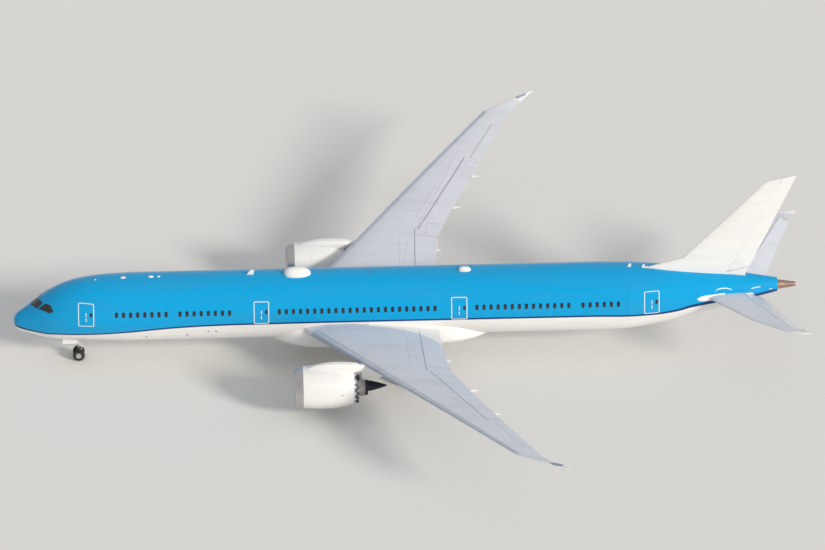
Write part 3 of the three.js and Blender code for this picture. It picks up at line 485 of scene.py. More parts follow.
# White polyurethane on nacelles, fin and fairings: gloss, with a little soot where air drags it aft.
nacellePaint = {
    "white": "#F3F2EF",
    "soot": "#B4B8BD",
    "sooted": (28.9, 29.6, 4.55),  # x of its ends, z that it stays below
    "seam": "#8C9095",
    "seamAt": (27.2, 4.85),  # x, z that it stays below
    "width": 3.9,
}


def whitePaint():
    values = nacellePaint
    made, shader, place, (x, y, z) = newMaterial("polyurethane_white", Coat_Weight=0.3, Coat_Roughness=0.1)
    onNacelle = line(y, engine["y"], values["width"])
    start, end, top = values["sooted"]
    sooted = product(above(x, start), below(x, end), below(z, top))
    painted = paintOver(values["white"], values["soot"], sooted, onNacelle)
    seam, top = values["seamAt"]
    painted = paintOver(painted, values["seam"], line(x, seam, 0.02), onNacelle, below(z, top), 0.4)
    weather(shader, place, painted, 0.14, 0.25)
    return made


# Grey wing paint: a satin that scatters more, with the seams of slats, panels and tips, and painted shade along
# the nose of the leading edge.
wingPaintValues = {
    "grey": "#D3D7DF",
    # The slats' own blue grey tint, also laid at full strength along the leading edge's nose as painted shade.
    "slatTintAndEdgeShade": "#A9B4C4",
    "white": "#F1F0EE",
    "seam": "#5C6570",
    "frontEdge": (24.38, 2),  # x and y of a point on it
    "sweep": 0.6886,
    "slatChord": (0.66, -0.012),  # at the plane of symmetry, and its change for each metre out
    "slatEnds": (3.6, 9.1, 11.2, 15.2, 19.2, 23.2, 27.3),
    # White caps over the track fairings: y of the middle, x of the front.
    "fairingTips": ((8.83, 36.9), (14.62, 38.64), (18.98, 40.45)),
    "fairingWidth": 0.56,
    "whiteTips": (29, 9.5),  # y where the wing and the tailplane turn white
    # Edge of the white root band: x, distance from the plane of symmetry.
    "rootBand": [(0, 2.9), (29.5, 3.1), (30.84, 3.22), (32.64, 3.44), (34.26, 3.96), (35.55, 4.77),
                 (36.57, 5.86), (37.4, 6.9), (65, 6.9)],
    "rootStart": 30.5,
    # Seams across the span: y where each starts and ends, its x there, its width and strength.
    "spanSeams": ((3.65, 11.3, 34.8, 35.09, 0.06, 0.8), (11.3, 21.1, 35.38, 39.92, 0.08, 0.8),
                  (9.1, 20.95, 34.31, 39.07, 0.03, 0.5), (21.1, 25.6, 40.42, 42.5, 0.035, 0.6),
                  (3.6, 9.1, 33.4, 34.31, 0.03, 0.4), (1.3, 9.05, 60.6, 65.9, 0.025, 0.4),
                  (1.45, 9.05, 62.96, 66.68, 0.035, 0.6)),
    # Seams along the chord: y, x of the ends.
    "chordSeams": ((10.45, 35.1, 37.3), (12.2, 36.2, 37.8), (20.6, 39.4, 41.4), (25.75, 42.5, 43.5)),
    "panel": (2.6, 1.5),
}


def wingPaint():
    values = wingPaintValues
    made, shader, place, (x, y, z) = newMaterial("satin_wing_paint")
    onWing, onTail = below(x, 50), above(x, 50)
    (frontX, frontY), sweep, slatEnds = values["frontEdge"], values["sweep"], values["slatEnds"]
    swept = minus(x, product(y, sweep))
    behind = minus(swept, frontX - frontY * sweep)
    rootChord, taper = values["slatChord"]
    slatChord = plus(product(y, taper), rootChord)
    slatSpan = product(above(y, slatEnds[0]), below(y, slatEnds[-1]), onWing)
    onSlat = product(below(behind, slatChord, 0.02), slatSpan)
    painted = paintOver(values["grey"], values["slatTintAndEdgeShade"], onSlat, 0.35)
    # Painted shade: the front edge of the slats takes the full blue grey, standing in for the shade under the
    # nose of the leading edge.
    painted = paintOver(painted, values["slatTintAndEdgeShade"], below(behind, 0.2, 0.3), slatSpan)
    inboard = product(below(y, alongBody(x, values["rootBand"], 10)), above(x, values["rootStart"]), onWing)
    fairings = [product(line(y, middle, values["fairingWidth"]), above(x, front), onWing)
                for middle, front in values["fairingTips"]]
    wingTip, tailTip = values["whiteTips"]
    painted = paintOver(painted, values["white"], largest(above(y, wingTip), product(above(y, tailTip), onTail),
                                                          inboard, *fairings))

    def spanSeam(y0, y1, x0, x1, width, strength):
        slope = (x1 - x0) / (y1 - y0)
        level = minus(x, product(y, slope))
        return product(above(y, y0), below(y, y1), line(level, x0 - slope * y0, width), strength)

    seams = [product(line(behind, slatChord, 0.04), slatSpan, 0.9)]
    seams += [product(line(y, end, 0.045), onSlat, 0.7) for end in slatEnds]
    seams += [spanSeam(*row) for row in values["spanSeams"]]
    seams += [product(line(y, middle, 0.04), above(x, x0), below(x, x1), 0.6)
              for middle, x0, x1 in values["chordSeams"]]
    width, height = values["panel"]
    panels = node("TexBrick", {"Vector": node("CombineXYZ", (swept, y)), "Scale": 1, "Mortar Size": 0.012,
                               "Brick Width": width, "Row Height": height}, "Fac")
    painted = paintOver(painted, values["seam"], largest(product(panels, 0.12), *seams))
    weather(shader, place, painted, 0.2, 0.32, 0.15)
    return made


# Bare aluminium inlet lip: bright metal whose polish runs round it, a little tinted by its oxide.
def bareAluminium():
    made, shader, place, _ = newMaterial("bare_aluminium", Metallic=1)
    polish = {"detail": 5, "stretch": (9, 0.4, 0.4)}
    base = paintOver("#D8D4D2", "#BFB9BA", uneven(place, 0.6, detail=2))
    dress(shader, base, uneven(place, 3, 0.22, 0.4, **polish), uneven(place, 3, span=(0, 1), **polish), 0.08)
    return made


# Nickel alloy of the core nozzle and plug: bright sleeve, then the nozzle's end and the plug dark in rings,
# partly heat tint and partly painted shade.
nozzleValues = {
    "span": (27.5, 32.2),  # x of the first and the last shade
    # From the nozzle's end aft the shades turn dark navy: heat tint and painted shade on the plug.
    "shades": ((0, "#C6C5C4"), (0.4, "#BCBAB9"), (0.5, "#A9A5A2"), (0.53, "#3C3B40"), (1, "#2C3040")),
}


def nozzleAlloy():
    made, shader, place, (x, y, z) = newMaterial("nozzle_alloy", Metallic=1)
    warped = plus(x, uneven(place, 2, 0, 0.12, span=(0, 1)))
    (start, end), shades = nozzleValues["span"], nozzleValues["shades"]
    heatTintAndShade = node("ValToRGB", (node("MapRange", {"Value": warped, "From Min": start, "From Max": end}),))
    elements = heatTintAndShade.node.color_ramp.elements
    elements[0].color, elements[1].color = colour(shades[0][1]), colour(shades[-1][1])
    for position, shade in shades[1:-1]:
        elements.new(position).color = colour(shade)
    dress(shader, heatTintAndShade, uneven(place, 6, 0.3, 0.5))
    return made


# A material that mixes two shades and varies its gloss by noise, each at its own scale.
def mottled(name, shades, grain, roughness, roughGrain, stretch=None, **values):
    made, shader, place, _ = newMaterial(name, **values)
    dress(shader, paintOver(*shades, uneven(place, grain, stretch=stretch)),
          uneven(place, roughGrain, *roughness), uneven(place, roughGrain, span=(0, 1)))
    return made


# The cap along the front of each wing tip, with the x where it turns white.
tipCap = {"from": (44.9, 29.22, 7.27), "to": (46.3, 29.99, 7.44), "radius": (0.12, 0.06), "whiteFrom": 45.75}


# Its erosion coating is blue grey and slightly glossy.
def erosionCoating():
    made, shader, place, (x, y, z) = newMaterial("erosion_coating")
    weather(shader, place, paintOver("#8B9AB0", "#F1F0EE", above(x, tipCap["whiteFrom"])), 0.2, 0.35)
    return made


# Epoxy enamel on the landing gear: pale grey, dulled by dust and hydraulic oil low down.
def gearEnamel():
    made, shader, place, (x, y, z) = newMaterial("gear_enamel")
    low = node("MapRange", {"Value": z, "From Min": 0.2, "From Max": 2.4, "To Min": 0.6, "To Max": 0.1})
    dress(shader, paintOver("#D4D6D6", "#77736C", low, uneven(place, 3.5, 0.2, 1, 6)),
          uneven(place, 9, 0.35, 0.6))
    return made


# Pale primer inside the holds and the wheel well.
def primer():
    made, shader, place, _ = newMaterial("epoxy_primer")
    weather(shader, place, "#C9CCC2", 0.4, 0.55, 0.3)
    return made


skinPaint, white, wingGrey = liveryPaint(), whitePaint(), wingPaint()
aluminium, hotAlloy = bareAluminium(), nozzleAlloy()
enamel, lining, edgeCoating = gearEnamel(), primer(), erosionCoating()
# Titanium tail cone, browned by exhaust heat.
titanium = mottled("heat_browned_titanium", ("#C9A896", "#A08478"), 2, (0.3, 0.48), 9, (1, 3, 3), Metallic=0.9)
# Carbon composite fan blades with a dark satin coating. The same dark finish covers the bypass duct's inner
# wall as painted shade.
darkCoatingAndDuctShade = mottled("dark_coating_and_duct_shade", ("#34383E", "#4B5058"), 8, (0.28, 0.45), 20, Metallic=0.3)
# Stretched acrylic and glass: near black from outside, with a clean reflection.
glazing = mottled("tinted_glazing", ("#0B0F14", "#1C242D"), 2.2, (0.06, 0.14), 5, IOR=1.5, Coat_Weight=0.6)
# Black polysulphide sealant round the panes.
darkSeal = mottled("polysulphide_sealant", ("#23262A", "#363A3F"), 30, (0.5, 0.7), 18)
# Chromed oleo piston: mirror bright, with a faint ring of oil.
chrome = mottled("chromed_steel", ("#C9CBCD", "#A9A7A2"), 4, (0.1, 0.22), 12, (1, 1, 6), Metallic=1)
# Tyre rubber: near black, greyed by runway dust.
rubber = mottled("tyre_rubber", ("#1E1E1F", "#3A3835"), 5, (0.7, 0.95), 40)
# Carbon brake packs: dull and dark.
carbon = mottled("brake_carbon", ("#2A2A2C", "#4A4B4D"), 11, (0.45, 0.7), 16, Metallic=0.4)
# Moulded polycarbonate lenses over lamps: clear, red to port and green to starboard.
clearLens, redLens, greenLens = (
    mottled(name, shades, 30, (0.08, 0.16), 40, IOR=1.58, Coat_Weight=0.8)
    for name, shades in (("clear_lens", ("#C9D2D8", "#E8E6E2")), ("red_lens", ("#B3201C", "#C9443C")),
                         ("green_lens", ("#1E8A4A", "#3FA76A"))))
print("materials made")


# Fuselage barrels: x where each starts and ends, and its rings.
barrels = {
    "radome": (0, 1.1, 24),
    "nose_section": (1.1, 8.3, 48),
    "forward_fuselage": (8.3, 22.3, 28),
    "centre_fuselage": (22.3, 37, 8),
    "aft_fuselage": (37, 52.9, 28),
    "tail_section": (52.9, 65.9, 44),
}
barrelSides = 96
barrelSeam = 0.004


def buildFuselage():
    made = {}
    for name, (start, end, rings) in barrels.items():
        def skin(u, v):
            along = sqrt(start) + (sqrt(end - barrelSeam) - sqrt(start)) * v
            return onBody(along ** 2, 2 * pi * u)

        mesh = closeEnds(sheetMesh(skin, barrelSides, rings))
        made[name] = newPiece(name + "_skin", mesh, [skinPaint, lining], [name])
    return made


# Cargo doors on the starboard side, and the holds behind them: x and z of their edges.
cargoDoors = {"forward_cargo_door": (10.9, 13.6, 2.75, 4.5), "aft_cargo_door": (42.2, 44.9, 2.75, 4.5)}
cargoValues = {"wall": 0.12, "clearance": 0.014, "holdDepth": 0.9, "rim": 0.07}


def buildCargoDoors(skins):
    gap, wall, rim = cargoValues["clearance"], cargoValues["wall"], cargoValues["rim"]
    for name, (x0, x1, z0, z1) in cargoDoors.items():
        barrel = skins["forward_fuselage" if x0 < 20 else "aft_fuselage"]
        carve(barrel, patch((x0 - gap, x1 + gap, z0 - gap, z1 + gap), -wall - gap, 0.3))
        carve(barrel, block((x0 + rim, cargoValues["holdDepth"], z0 + rim), (x1 - rim, 4, z1 - rim)))
        door = patch((x0, x1, z0, z1), -wall, 0, 0.03, step=0.2)
        newPiece(name + "_skin", door, [skinPaint, lining], [name], name)


# The nose wheel well, and primer on every face within this share of the skin's size.
wheelWell = ((4.1, -0.42, 1.5), (5.95, 0.42, 3))
liningShare = 0.985


def liningInside(skins):
    for item in skins.values():
        for face in item.data.polygons:
            centre = face.center / modelScale
            middle, width, top, bottom = bodySection(centre[0] + realLength / 2)
            rise = (centre[2] - middle) / (top if centre[2] > middle else bottom)
            if hypot(centre[1] / width, rise) < liningShare:
                face.material_index = 1


# Passenger doors: x and z of their edges, on both sides. Below: z, half width and half height of their details.
passengerDoors = [(5.55, 6.82, 4.98, 6.92), (20.65, 21.88, 4.98, 6.92), (37.66, 38.95, 4.98, 6.92),
                  (54.3, 55.54, 4.98, 6.92)]
doorValues = {"corner": 0.2, "outline": 0.065, "outlineCorner": 0.12, "proud": 0.008,
              "handle": (5.79, 0.16, 0.05), "bar": (5.81, 0.035, 0.39), "window": (6.04, 0.105, 0.18)}


def buildPassengerDoors():
    outlines, panes = [], []
    for index, (x0, x1, z0, z1) in enumerate(passengerDoors):
        middle = (x0 + x1) / 2
        panel = patch((x0, x1, z0, z1), -0.1, doorValues["proud"], doorValues["corner"])
        handle = patch(edgesAbout(middle, *doorValues["handle"]), 0, 0.02, 0.03)
        step = patch((x0 + 0.22, x1 - 0.22, z0 + 0.06, z0 + 0.1), 0, 0.016)
        newPair(f"passenger_door_panel_{index + 1}", gather([panel, handle, step]), skinPaint,
                [f"passenger_door_{index + 1}"])
        outlines += [patch((x0 - 0.045, x1 + 0.045, z0 - 0.03, z1 - 0.01), -0.01, 0.012,
                           doorValues["outlineCorner"], doorValues["outline"]),
                     patch(edgesAbout(middle, *doorValues["bar"]), 0, 0.01, 0.02)]
        panes.append(patch(edgesAbout(x1 - 0.205, *doorValues["window"]), 0, 0.014, 0.07))
    newPiece("passenger_door_outlines", bothSides(outlines), white)
    newPiece("passenger_door_windows", bothSides(panes), glazing)


# Cabin windows: how many stand in each group and the x of its first.
windowGroups = [(8, 8.79), (8, 14.25), (23, 22.8), (14, 39.82), (6, 48.97)]
windowValues = {"pitch": 0.6096, "z": 6.05, "width": 0.27, "height": 0.48, "corner": 0.12, "frame": 0.035}


def buildWindows():
    panes, rings = [], []
    half, tall, edge = windowValues["width"] / 2, windowValues["height"] / 2, windowValues["frame"]
    corner, z = windowValues["corner"], windowValues["z"]
    for x in [first + k * windowValues["pitch"] for count, first in windowGroups for k in range(count)]:
        panes.append(patch(edgesAbout(x, z, half, tall), -0.01, 0.006, corner, step=0.15))
        rings.append(patch(edgesAbout(x, z, half + edge, tall + edge), -0.01, 0.009, corner + edge,
                           edge * 0.9, 0.2))
    newPiece("cabin_windows", bothSides(panes), glazing)
    newPiece("cabin_window_frames", bothSides(rings), skinPaint)


# Small vents low on the port side: x and z of each.
vents = {"places": ((16.7, 4.16), (17.36, 4.14), (11.35, 3.56), (14.89, 3.72)), "half": 0.07}


def buildVents():
    made = [patch(edgesAbout(*place, vents["half"], vents["half"]), -0.01, 0.006, 0.05, step=0.08)
            for place in vents["places"]]
    newPiece("body_vents", mirrored(gather(made)), darkSeal)


# Cockpit panes: x, distance from the plane of symmetry, z.
cockpitPanes = [
    [(1.42, 0.05, 5.5), (2.12, 0.05, 6.13), (2.5, 0.8, 6.24), (1.95, 0.9, 5.72)],
    [(2.08, 1, 5.76), (2.72, 0.95, 6.26), (3.16, 1.31, 6.3), (3.4, 1.76, 5.93), (3.02, 1.66, 5.7)],
]


def buildCockpitGlass():
    panes, seals = [], []
    for corners in cockpitPanes:
        outline = []
        for x, y, z in corners:
            middle, width, top, bottom = bodySection(x)
            outline.append((x, atan2((z - middle) / top, y / width)))
        panes.append(skinPlate(outline, -0.02, 0.012, 0.05, step=0.12))
        seals.append(skinPlate(outline, -0.02, 0.016, 0.05, 0.035, 0.12))
    newPiece("cockpit_panes", bothSides(panes), glazing, ["cockpit_glass"])
    newPiece("cockpit_pane_seals", bothSides(seals), darkSeal)


# Wing-body fairing: x, half width, top z, bottom z.
fairingStations = [
    (21.6, 0.5, 2.9, 2.24), (23.2, 2.2, 4, 2.1), (25.2, 3.12, 4.62, 1.93), (27.5, 3.3, 4.85, 1.86),
    (34, 3.3, 4.85, 1.86), (37.2, 3.05, 4.6, 1.95), (39.6, 2.2, 3.9, 2.1), (41.5, 0.5, 2.9, 2.24),
]


def buildFairing():
    def skin(u, v):
        x = fairingStations[0][0] + (fairingStations[-1][0] - fairingStations[0][0]) * v
        width, top, bottom = smoothRow(fairingStations, x)
        c, s = cos(2 * pi * u), sin(2 * pi * u)
        return at(x, width * copysign(abs(c) ** 0.72, c),
                  (top + bottom) / 2 + (top - bottom) / 2 * copysign(abs(s) ** 0.72, s))

    newPiece("wing_body_fairing_skin", closeEnds(sheetMesh(skin, 96, 60)), white,
             ["wing_body_fairing"])


# Surfaces that keep their CAD shape.
def buildSurfaces():
    for side in ("starboard", "port"):
        for name in ("flaperon", "aileron", "inboard_flap", "outboard_flap", "inboard_spoiler",
                     "outboard_spoiler", "elevator"):
            smoothedNode(f"{name}_{side}", wingGrey, f"{name}_{side}")
        smoothedNode("wing_" + side, wingGrey)
        smoothedNode("tailplane_" + side, wingGrey)
        smoothedNode("pylon_" + side, white, sharpAngle=35)
    smoothedNode("fin", white)
    smoothedNode("rudder", white, "rudder")


# Nacelle, core and spinner: x, radius.
nacelleOutside = [(24.55, 1.796), (25.4, 1.87), (26.6, 1.9), (27.6, 1.84), (28.6, 1.64), (29.4, 1.42)]
nacelleInside = [(24.556, 1.4), (25, 1.46), (26.6, 1.49), (28.2, 1.5), (29.38, 1.39)]
coreOutside = [(25.62, 0.62), (26.3, 0.78), (27.4, 1.04), (28.6, 1.02), (30.1, 0.78)]
coreInside = [(30.1, 0.75), (29.5, 0.77), (29.2, 0.74), (29.2, 0.58), (29.6, 0.55), (30.5, 0.42), (31, 0.29),
              (31.5, 0.14), (31.74, 0.05), (31.8, 0)]
spinner = [(24.6, 0), (24.63, 0.06), (24.72, 0.15), (24.86, 0.24), (25.05, 0.33), (25.3, 0.41), (25.58, 0.5),
           (25.58, 0)]
# Quarter arcs of the lip's outside and throat: x of the middle, length, rise or fall, steps.
lip = {"radius": 1.58, "outside": (24.55, 0.69, 0.215, 16), "throat": (24.25, 0.39, -0.18, 12),
       "end": (24.55, 1.4)}
chevrons = {"count": 16, "depth": 0.32, "from": 28.55, "firstTip": radians(5.625)}
# The cowl's inner wall aft of this x and inside this radius takes the fan blades' dark coating: painted shade
# inside the bypass duct.
ductShade = {"radius": 1.505, "from": 26.4}
vanes = {"count": 36, "x": 26.55, "chord": 0.55, "root": 0.72, "span": 0.76, "camber": 0.05,
         "thickness": 0.008}
fan = {"count": 18, "x": 25.42, "root": 0.37, "span": 1.05, "twist": (0.35, 1.05), "chord": (0.3, 0.46),
       "camber": 0.03, "thickness": 0.006}


# Points of a smooth profile from one x to another.
def sampled(rows, start, end, steps):
    places = [start + (end - start) * k / steps for k in range(steps + 1)]
    return [(x, smoothRow(rows, x)[0]) for x in places]


def quarterArc(x, length, rise, steps):
    turns = [pi / 2 * k / steps for k in range(steps + 1)]
    return [(x - length * cos(t), lip["radius"] + rise * sin(t)) for t in turns]


def vaneSurface(u, v, angle):
    return besideEngine(vanes["x"] + vanes["chord"] * u, vanes["root"] + vanes["span"] * v, angle,
                        vanes["camber"] * sin(pi * u))


def bladeSurface(u, v, angle):
    (twist, tipTwist), (chord, midChord) = fan["twist"], fan["chord"]
    twist += (tipTwist - twist) * v ** 0.8
    chord += (midChord - chord) * sin(1.9 * v)
    lengthwise, camber = (u - 0.5) * chord, fan["camber"] * (1 - (2 * u - 1) ** 2)
    across = lengthwise * sin(twist) + camber * cos(twist)
    out = sqrt((fan["root"] + fan["span"] * v) ** 2 - across ** 2)
    return besideEngine(fan["x"] + lengthwise * cos(twist) - camber * sin(twist), out, angle, across)


def buildEngines():
    profile = quarterArc(*lip["outside"])[::-1] + quarterArc(*lip["throat"])[1:] + [lip["end"]]
    newPair("inlet_lip_ring", aroundEngine(profile), aluminium, ["inlet_lip"], sharpAngle=40)

    cowl = aroundEngine(sampled(nacelleOutside, 24.556, 29.4, 40) + sampled(nacelleInside, 29.38, 24.56, 24))
    start, axis = chevrons["from"], at(*besideEngine(0, 0, 0))
    for vertex in cowl.verts:
        x = vertex.co.x / modelScale + realLength / 2
        if x > start:
            angle = atan2(vertex.co.z - axis.z, vertex.co.y - axis.y) - chevrons["firstTip"]
            turn = (angle * chevrons["count"] / (2 * pi)) % 1
            notch = 1 - abs(2 * turn - 1)
            vertex.co.x -= chevrons["depth"] * modelScale * notch * (x - start) / (29.4 - start)
    # Painted shade: faces of the duct's inner wall take the dark coating.
    for face in cowl.faces:
        centre = face.calc_center_median() - axis
        if hypot(centre.y, centre.z) < ductShade["radius"] * modelScale and (
                centre.x > ductShade["from"] * modelScale):
            face.material_index = 1
    newPair("fan_cowl_shell", cowl, [white, darkCoatingAndDuctShade], ["fan_cowl"])
    x, radii, angle, size = engine["drain"]
    newPair("cowl_drain", bar(*(besideEngine(x, radius, angle) for radius in radii), size), darkSeal)

    core = aroundEngine([(25.62, 0)] + sampled(coreOutside, 25.62, 30.1, 30) + coreInside, False, 64)
    guides = sheetRing(vanes["count"], vaneSurface, 4, 4, vanes["thickness"])
    newPair("engine_core_nozzle", gather([core] + guides), hotAlloy, ["engine_core"],
            sharpAngle=35)
    blades = sheetRing(fan["count"], bladeSurface, 8, 14, fan["thickness"])
    newPair("fan_blades", gather([aroundEngine(spinner, False, 64)] + blades), darkCoatingAndDuctShade, ["fan"],
            "fan", 35)


# Tail cone over the auxiliary power unit: share of its length, radius.
def buildTailCone():
    rows = [(0, 0), (0, 0.405), (0.004, 0.418), (0.12, 0.395), (0.5, 0.31), (0.85, 0.222), (0.985, 0.194),
            (1, 0.188), (1, 0.15), (0.96, 0.135), (0.75, 0.13), (0.75, 0)]
    newPiece("exhaust_cone_skin", turned((65.9, 0, 5.97), (67.5, 0, 5.97), rows, 64), titanium,
             ["exhaust_cone"])


# Wheels, with x and y of the middle of the pair or bogie.
noseGear = {"x": 5.56, "radius": 0.508, "tyreWidth": 0.4, "halfTrack": 0.34, "hub": 0.25, "axle": 0.07,
            "bolts": 8}
mainGear = {"x": 34.44, "y": 4.9, "radius": 0.676, "tyreWidth": 0.52, "halfTrack": 0.66, "hub": 0.3,
            "axle": 0.09, "bolts": 12, "axleGap": 1.46}
# Shares of half the tyre's width and of the wall's height, and the middles of the tread's grooves.
tyreWall = [(-0.72, 0), (-0.9, 0), (-0.985, 0.35), (-1, 0.55), (-0.95, 0.76), (-0.84, 0.91)]
grooves = {"middles": (-0.42, -0.14, 0.14, 0.42), "half": 0.03, "depth": 0.016}
# Rim, from outboard to inboard: share of half the tyre's width, share of the hub's radius, metres more.
rimRows = [(-0.3, 0, 0), (-0.3, 0.8, 0), (-0.74, 0.86, 0), (-0.78, 1, -0.008), (-0.74, 1, 0.004),
           (0.74, 1, 0.004), (0.78, 1, -0.008), (0.7, 1, -0.03), (0.42, 1, -0.05), (0.32, 0.68, 0),
           (0.42, 0.52, 0), (0.62, 0.45, 0)]


# A pair of tyres on rims, as two meshes: rubber and metal.
def wheelPair(x, y, gear):
    r, half, hub, height = gear["radius"], gear["tyreWidth"] / 2, gear["hub"], gear["radius"] + 0.0005
    wall = [(a, hub + b * (r - hub)) for a, b in tyreWall] + [(-0.66, r - 0.006)]
    wall[1] = (wall[1][0], hub + 0.02)
    tread = [(middle + side * grooves["half"], r - depth) for middle in grooves["middles"]
             for side, depth in ((-1, 0), (-1, grooves["depth"]), (1, grooves["depth"]), (1, 0))]
    tyre = wall + tread + [(-a, b) for a, b in reversed(wall)]
    rim = [(a, b * hub + more) for a, b, more in rimRows]
    rim += [(0.66, gear["axle"] * 1.2), (0.7, gear["axle"]), (0.7, 0)]
    tyres, metal = [], []
    for side in (1, -1):
        centre = y + side * gear["halfTrack"]
        for made, rows, way, sides, closed in ((tyres, tyre, 1, 72, True), (metal, rim, side, 48, False)):
            made.append(turned((x, centre - way * half, height), (x, centre + way * half, height),
                               [((a + 1) / 2, b) for a, b in rows], sides, closed))
        for k in range(gear["bolts"]):
            angle = 2 * pi * k / gear["bolts"]
            boltX, boltZ = x + hub * 0.6 * cos(angle), height + hub * 0.6 * sin(angle)
            ends = [(boltX, centre + side * half * share, boltZ) for share in (0.3, 0.46)]
            metal.append(bar(*ends, 0.017, sides=6))
    ends = [(x, y + side * gear["halfTrack"], height) for side in (-1, 1)]
    metal.append(bar(*ends, gear["axle"] * 0.98))
    return gather(tyres), gather(metal)


def buildWheels():
    tyres, metal = wheelPair(noseGear["x"], 0, noseGear)
    newPiece("nose_tyres", tyres, rubber, ["nose_wheels"], "nose_wheels")
    newPiece("nose_rims", metal, enamel, body="nose_wheels")
    for place, end in (("front", -0.5), ("rear", 0.5)):
        x = mainGear["x"] + end * mainGear["axleGap"]
        tyres, metal = wheelPair(x, mainGear["y"], mainGear)
        body = f"main_wheels_{place}"
        newPair(f"main_tyres_{place}", tyres, rubber, [body], body)
        newPair(f"main_rims_{place}", metal, enamel, (), body)


# Tubes of the legs: both ends from the middle of the pair or bogie, radius, far radius, collars, sides.
noseAxle, mainAxle = 0.50866, 0.67657
noseTubes = {
    "leg": [((0, 0, 1.55), (0, 0, 2.99), 0.15, 0.17, (0.12, 0.5, 0.8), 32),
            ((0, 0, 2.2), (-0.68, 0, 2.84), 0.07, None, (0.2, 0.8)),
            ((-0.66, -0.3, 2.85), (-0.66, 0.3, 2.85), 0.1),
            ((0, -0.34, 2.76), (0, 0.34, 2.76), 0.09),
            ((-0.15, -0.26, 2.06), (-0.15, 0.26, 2.06), 0.085),
            ((0.16, 0.05, 1.7), (0.17, 0.05, 2.9), 0.018),
            ((0.15, -0.06, 1.7), (0.16, -0.06, 2.9), 0.014)],
    "piston": [((0, 0, noseAxle), (0, 0, 1.5495), 0.1, None, (), 32)],
    "steering": [((0, 0, 1.42), (0, 0, 1.5495), 0.16, None, (), 32),
                 ((0, -0.13, noseAxle), (0, 0.13, noseAxle), 0.13, None, (), 28),
                 ((0, 0, 1.35), (0.34, 0, 1.1), 0.05, 0.04),
                 ((0.34, 0, 1.12), (0.05, 0, 0.72), 0.04, 0.05),
                 ((0.34, -0.07, 1.11), (0.34, 0.07, 1.11), 0.035)],
}
mainTubes = {
    "leg": [((0, 0, 1.5), (-0.49, 0, 3.9), 0.22, 0.24, (0.05, 0.45, 0.9), 32),
            ((-0.49, -0.5, 3.7), (-0.49, 0.4, 3.7), 0.12),
            ((-0.2, 0, 2.3), (-1.84, 0, 3.88), 0.09, None, (0.15, 0.85)),
            ((-0.1, -0.1, 2.2), (-0.34, -1.4, 3.4), 0.1, None, (0.15, 0.6)),
            ((-0.97, 0, mainAxle), (0.97, 0, mainAxle), 0.17, None, (0.12, 0.5, 0.88), 32),
            ((0.26, 0, 0.82), (0.5, 0, 1.25), 0.05, 0.04),
            ((0.5, 0, 1.22), (0.14, 0, 1.72), 0.04, 0.05),
            ((0.5, -0.08, 1.24), (0.5, 0.08, 1.24), 0.035),
            ((-0.73, -0.28, mainAxle + 0.2), (0.73, -0.28, mainAxle + 0.2), 0.025),
            ((-0.14, -0.24, 1.4), (-0.59, -0.24, 3.9), 0.022),
            ((0.05, -0.25, 1.4), (-0.39, -0.25, 3.9), 0.016),
            ((-0.73, -0.2, mainAxle), (-0.73, 0.2, mainAxle), 0.17, None, (), 28),
            ((0.73, -0.2, mainAxle), (0.73, 0.2, mainAxle), 0.17, None, (), 28)],
    "piston": [((0, 0, mainAxle), (0, 0, 1.6), 0.15, None, (), 32)],
    "brakes": [((x, side * 0.2, mainAxle), (x, side * 0.37, mainAxle), 0.21, None, (), 32)
               for x in (-0.73, 0.73) for side in (-1, 1)],
}


def tubes(rows, x, y=0):
    return gather([bar(*((x + a, y + b, c) for a, b, c in row[:2]), *row[2:]) for row in rows])


# Doors that hang open beside a leg: x and z of their edges, distance aside, and how far they bulge.
noseDoor = {"edges": (4.165, 5.485, 1.865, 2.885), "aside": 0.585, "bulge": 0.02, "hinges": (4.33, 4.78, 5.23)}
mainDoor = {"edges": (33.4, 34.7, 1.7, 3.55), "aside": 0.63, "bulge": 0.03}


def doorPoint(values, u, v, along, y, side):
    x0, x1, z0, z1 = values["edges"]
    aside = values["aside"] + values["bulge"] * (1 - (2 * along - 1) ** 2)
    return at(x0 + (x1 - x0) * u, y + side * aside, z0 + (z1 - z0) * v)


def buildNoseGear():
    x = noseGear["x"]
    newPiece("nose_leg_tubes", tubes(noseTubes["leg"], x), enamel, ["nose_leg"])
    rows = [(0, 0), (0, 0.05), (0.4, 0.085), (0.9, 0.09), (1, 0.08), (1, 0)]
    lamps = [turned((x - 0.22, y, 2.06), (x - 0.33, y, 2.06), rows) for y in (-0.2, 0.2)]
    newPiece("nose_landing_lights", gather(lamps), clearLens)
    newPiece("nose_piston", tubes(noseTubes["piston"], x), chrome, body="nose_steering")
    towFitting = block((x - 0.3, -0.06, 0.62), (x, 0.06, 0.74), 0.015)
    newPiece("nose_steering_links", gather([tubes(noseTubes["steering"], x), towFitting]), enamel,
             ["nose_steering"], "nose_steering")
    doors = []
    for side in (1, -1):
        door = sheetMesh(lambda u, v: doorPoint(noseDoor, u, v, v, 0, side), 10, 10)
        doors.append(thickened(door, 0.012))
        doors += [block((x0, side * 0.58 - 0.02, 1.93), (x0 + 0.04, side * 0.58 + 0.02, 2.8), 0.008)
                  for x0 in noseDoor["hinges"]]
    newPiece("nose_gear_doors", gather(doors), white)


def buildMainGear():
    x, y = mainGear["x"], mainGear["y"]
    newPair("main_leg_tubes", tubes(mainTubes["leg"], x, y), enamel, ["main_leg"])
    newPair("main_leg_piston", tubes(mainTubes["piston"], x, y), chrome)
    newPair("main_brakes", tubes(mainTubes["brakes"], x, y), carbon)
    door = sheetMesh(lambda u, v: doorPoint(mainDoor, u, v, u, y, 1), 10, 12)
    stay = bar((34.2, y, 2.6), (34.2, y + mainDoor["aside"], 2.6), 0.06)
    newPair("main_leg_door", gather([thickened(door, 0.012), stay]), white)


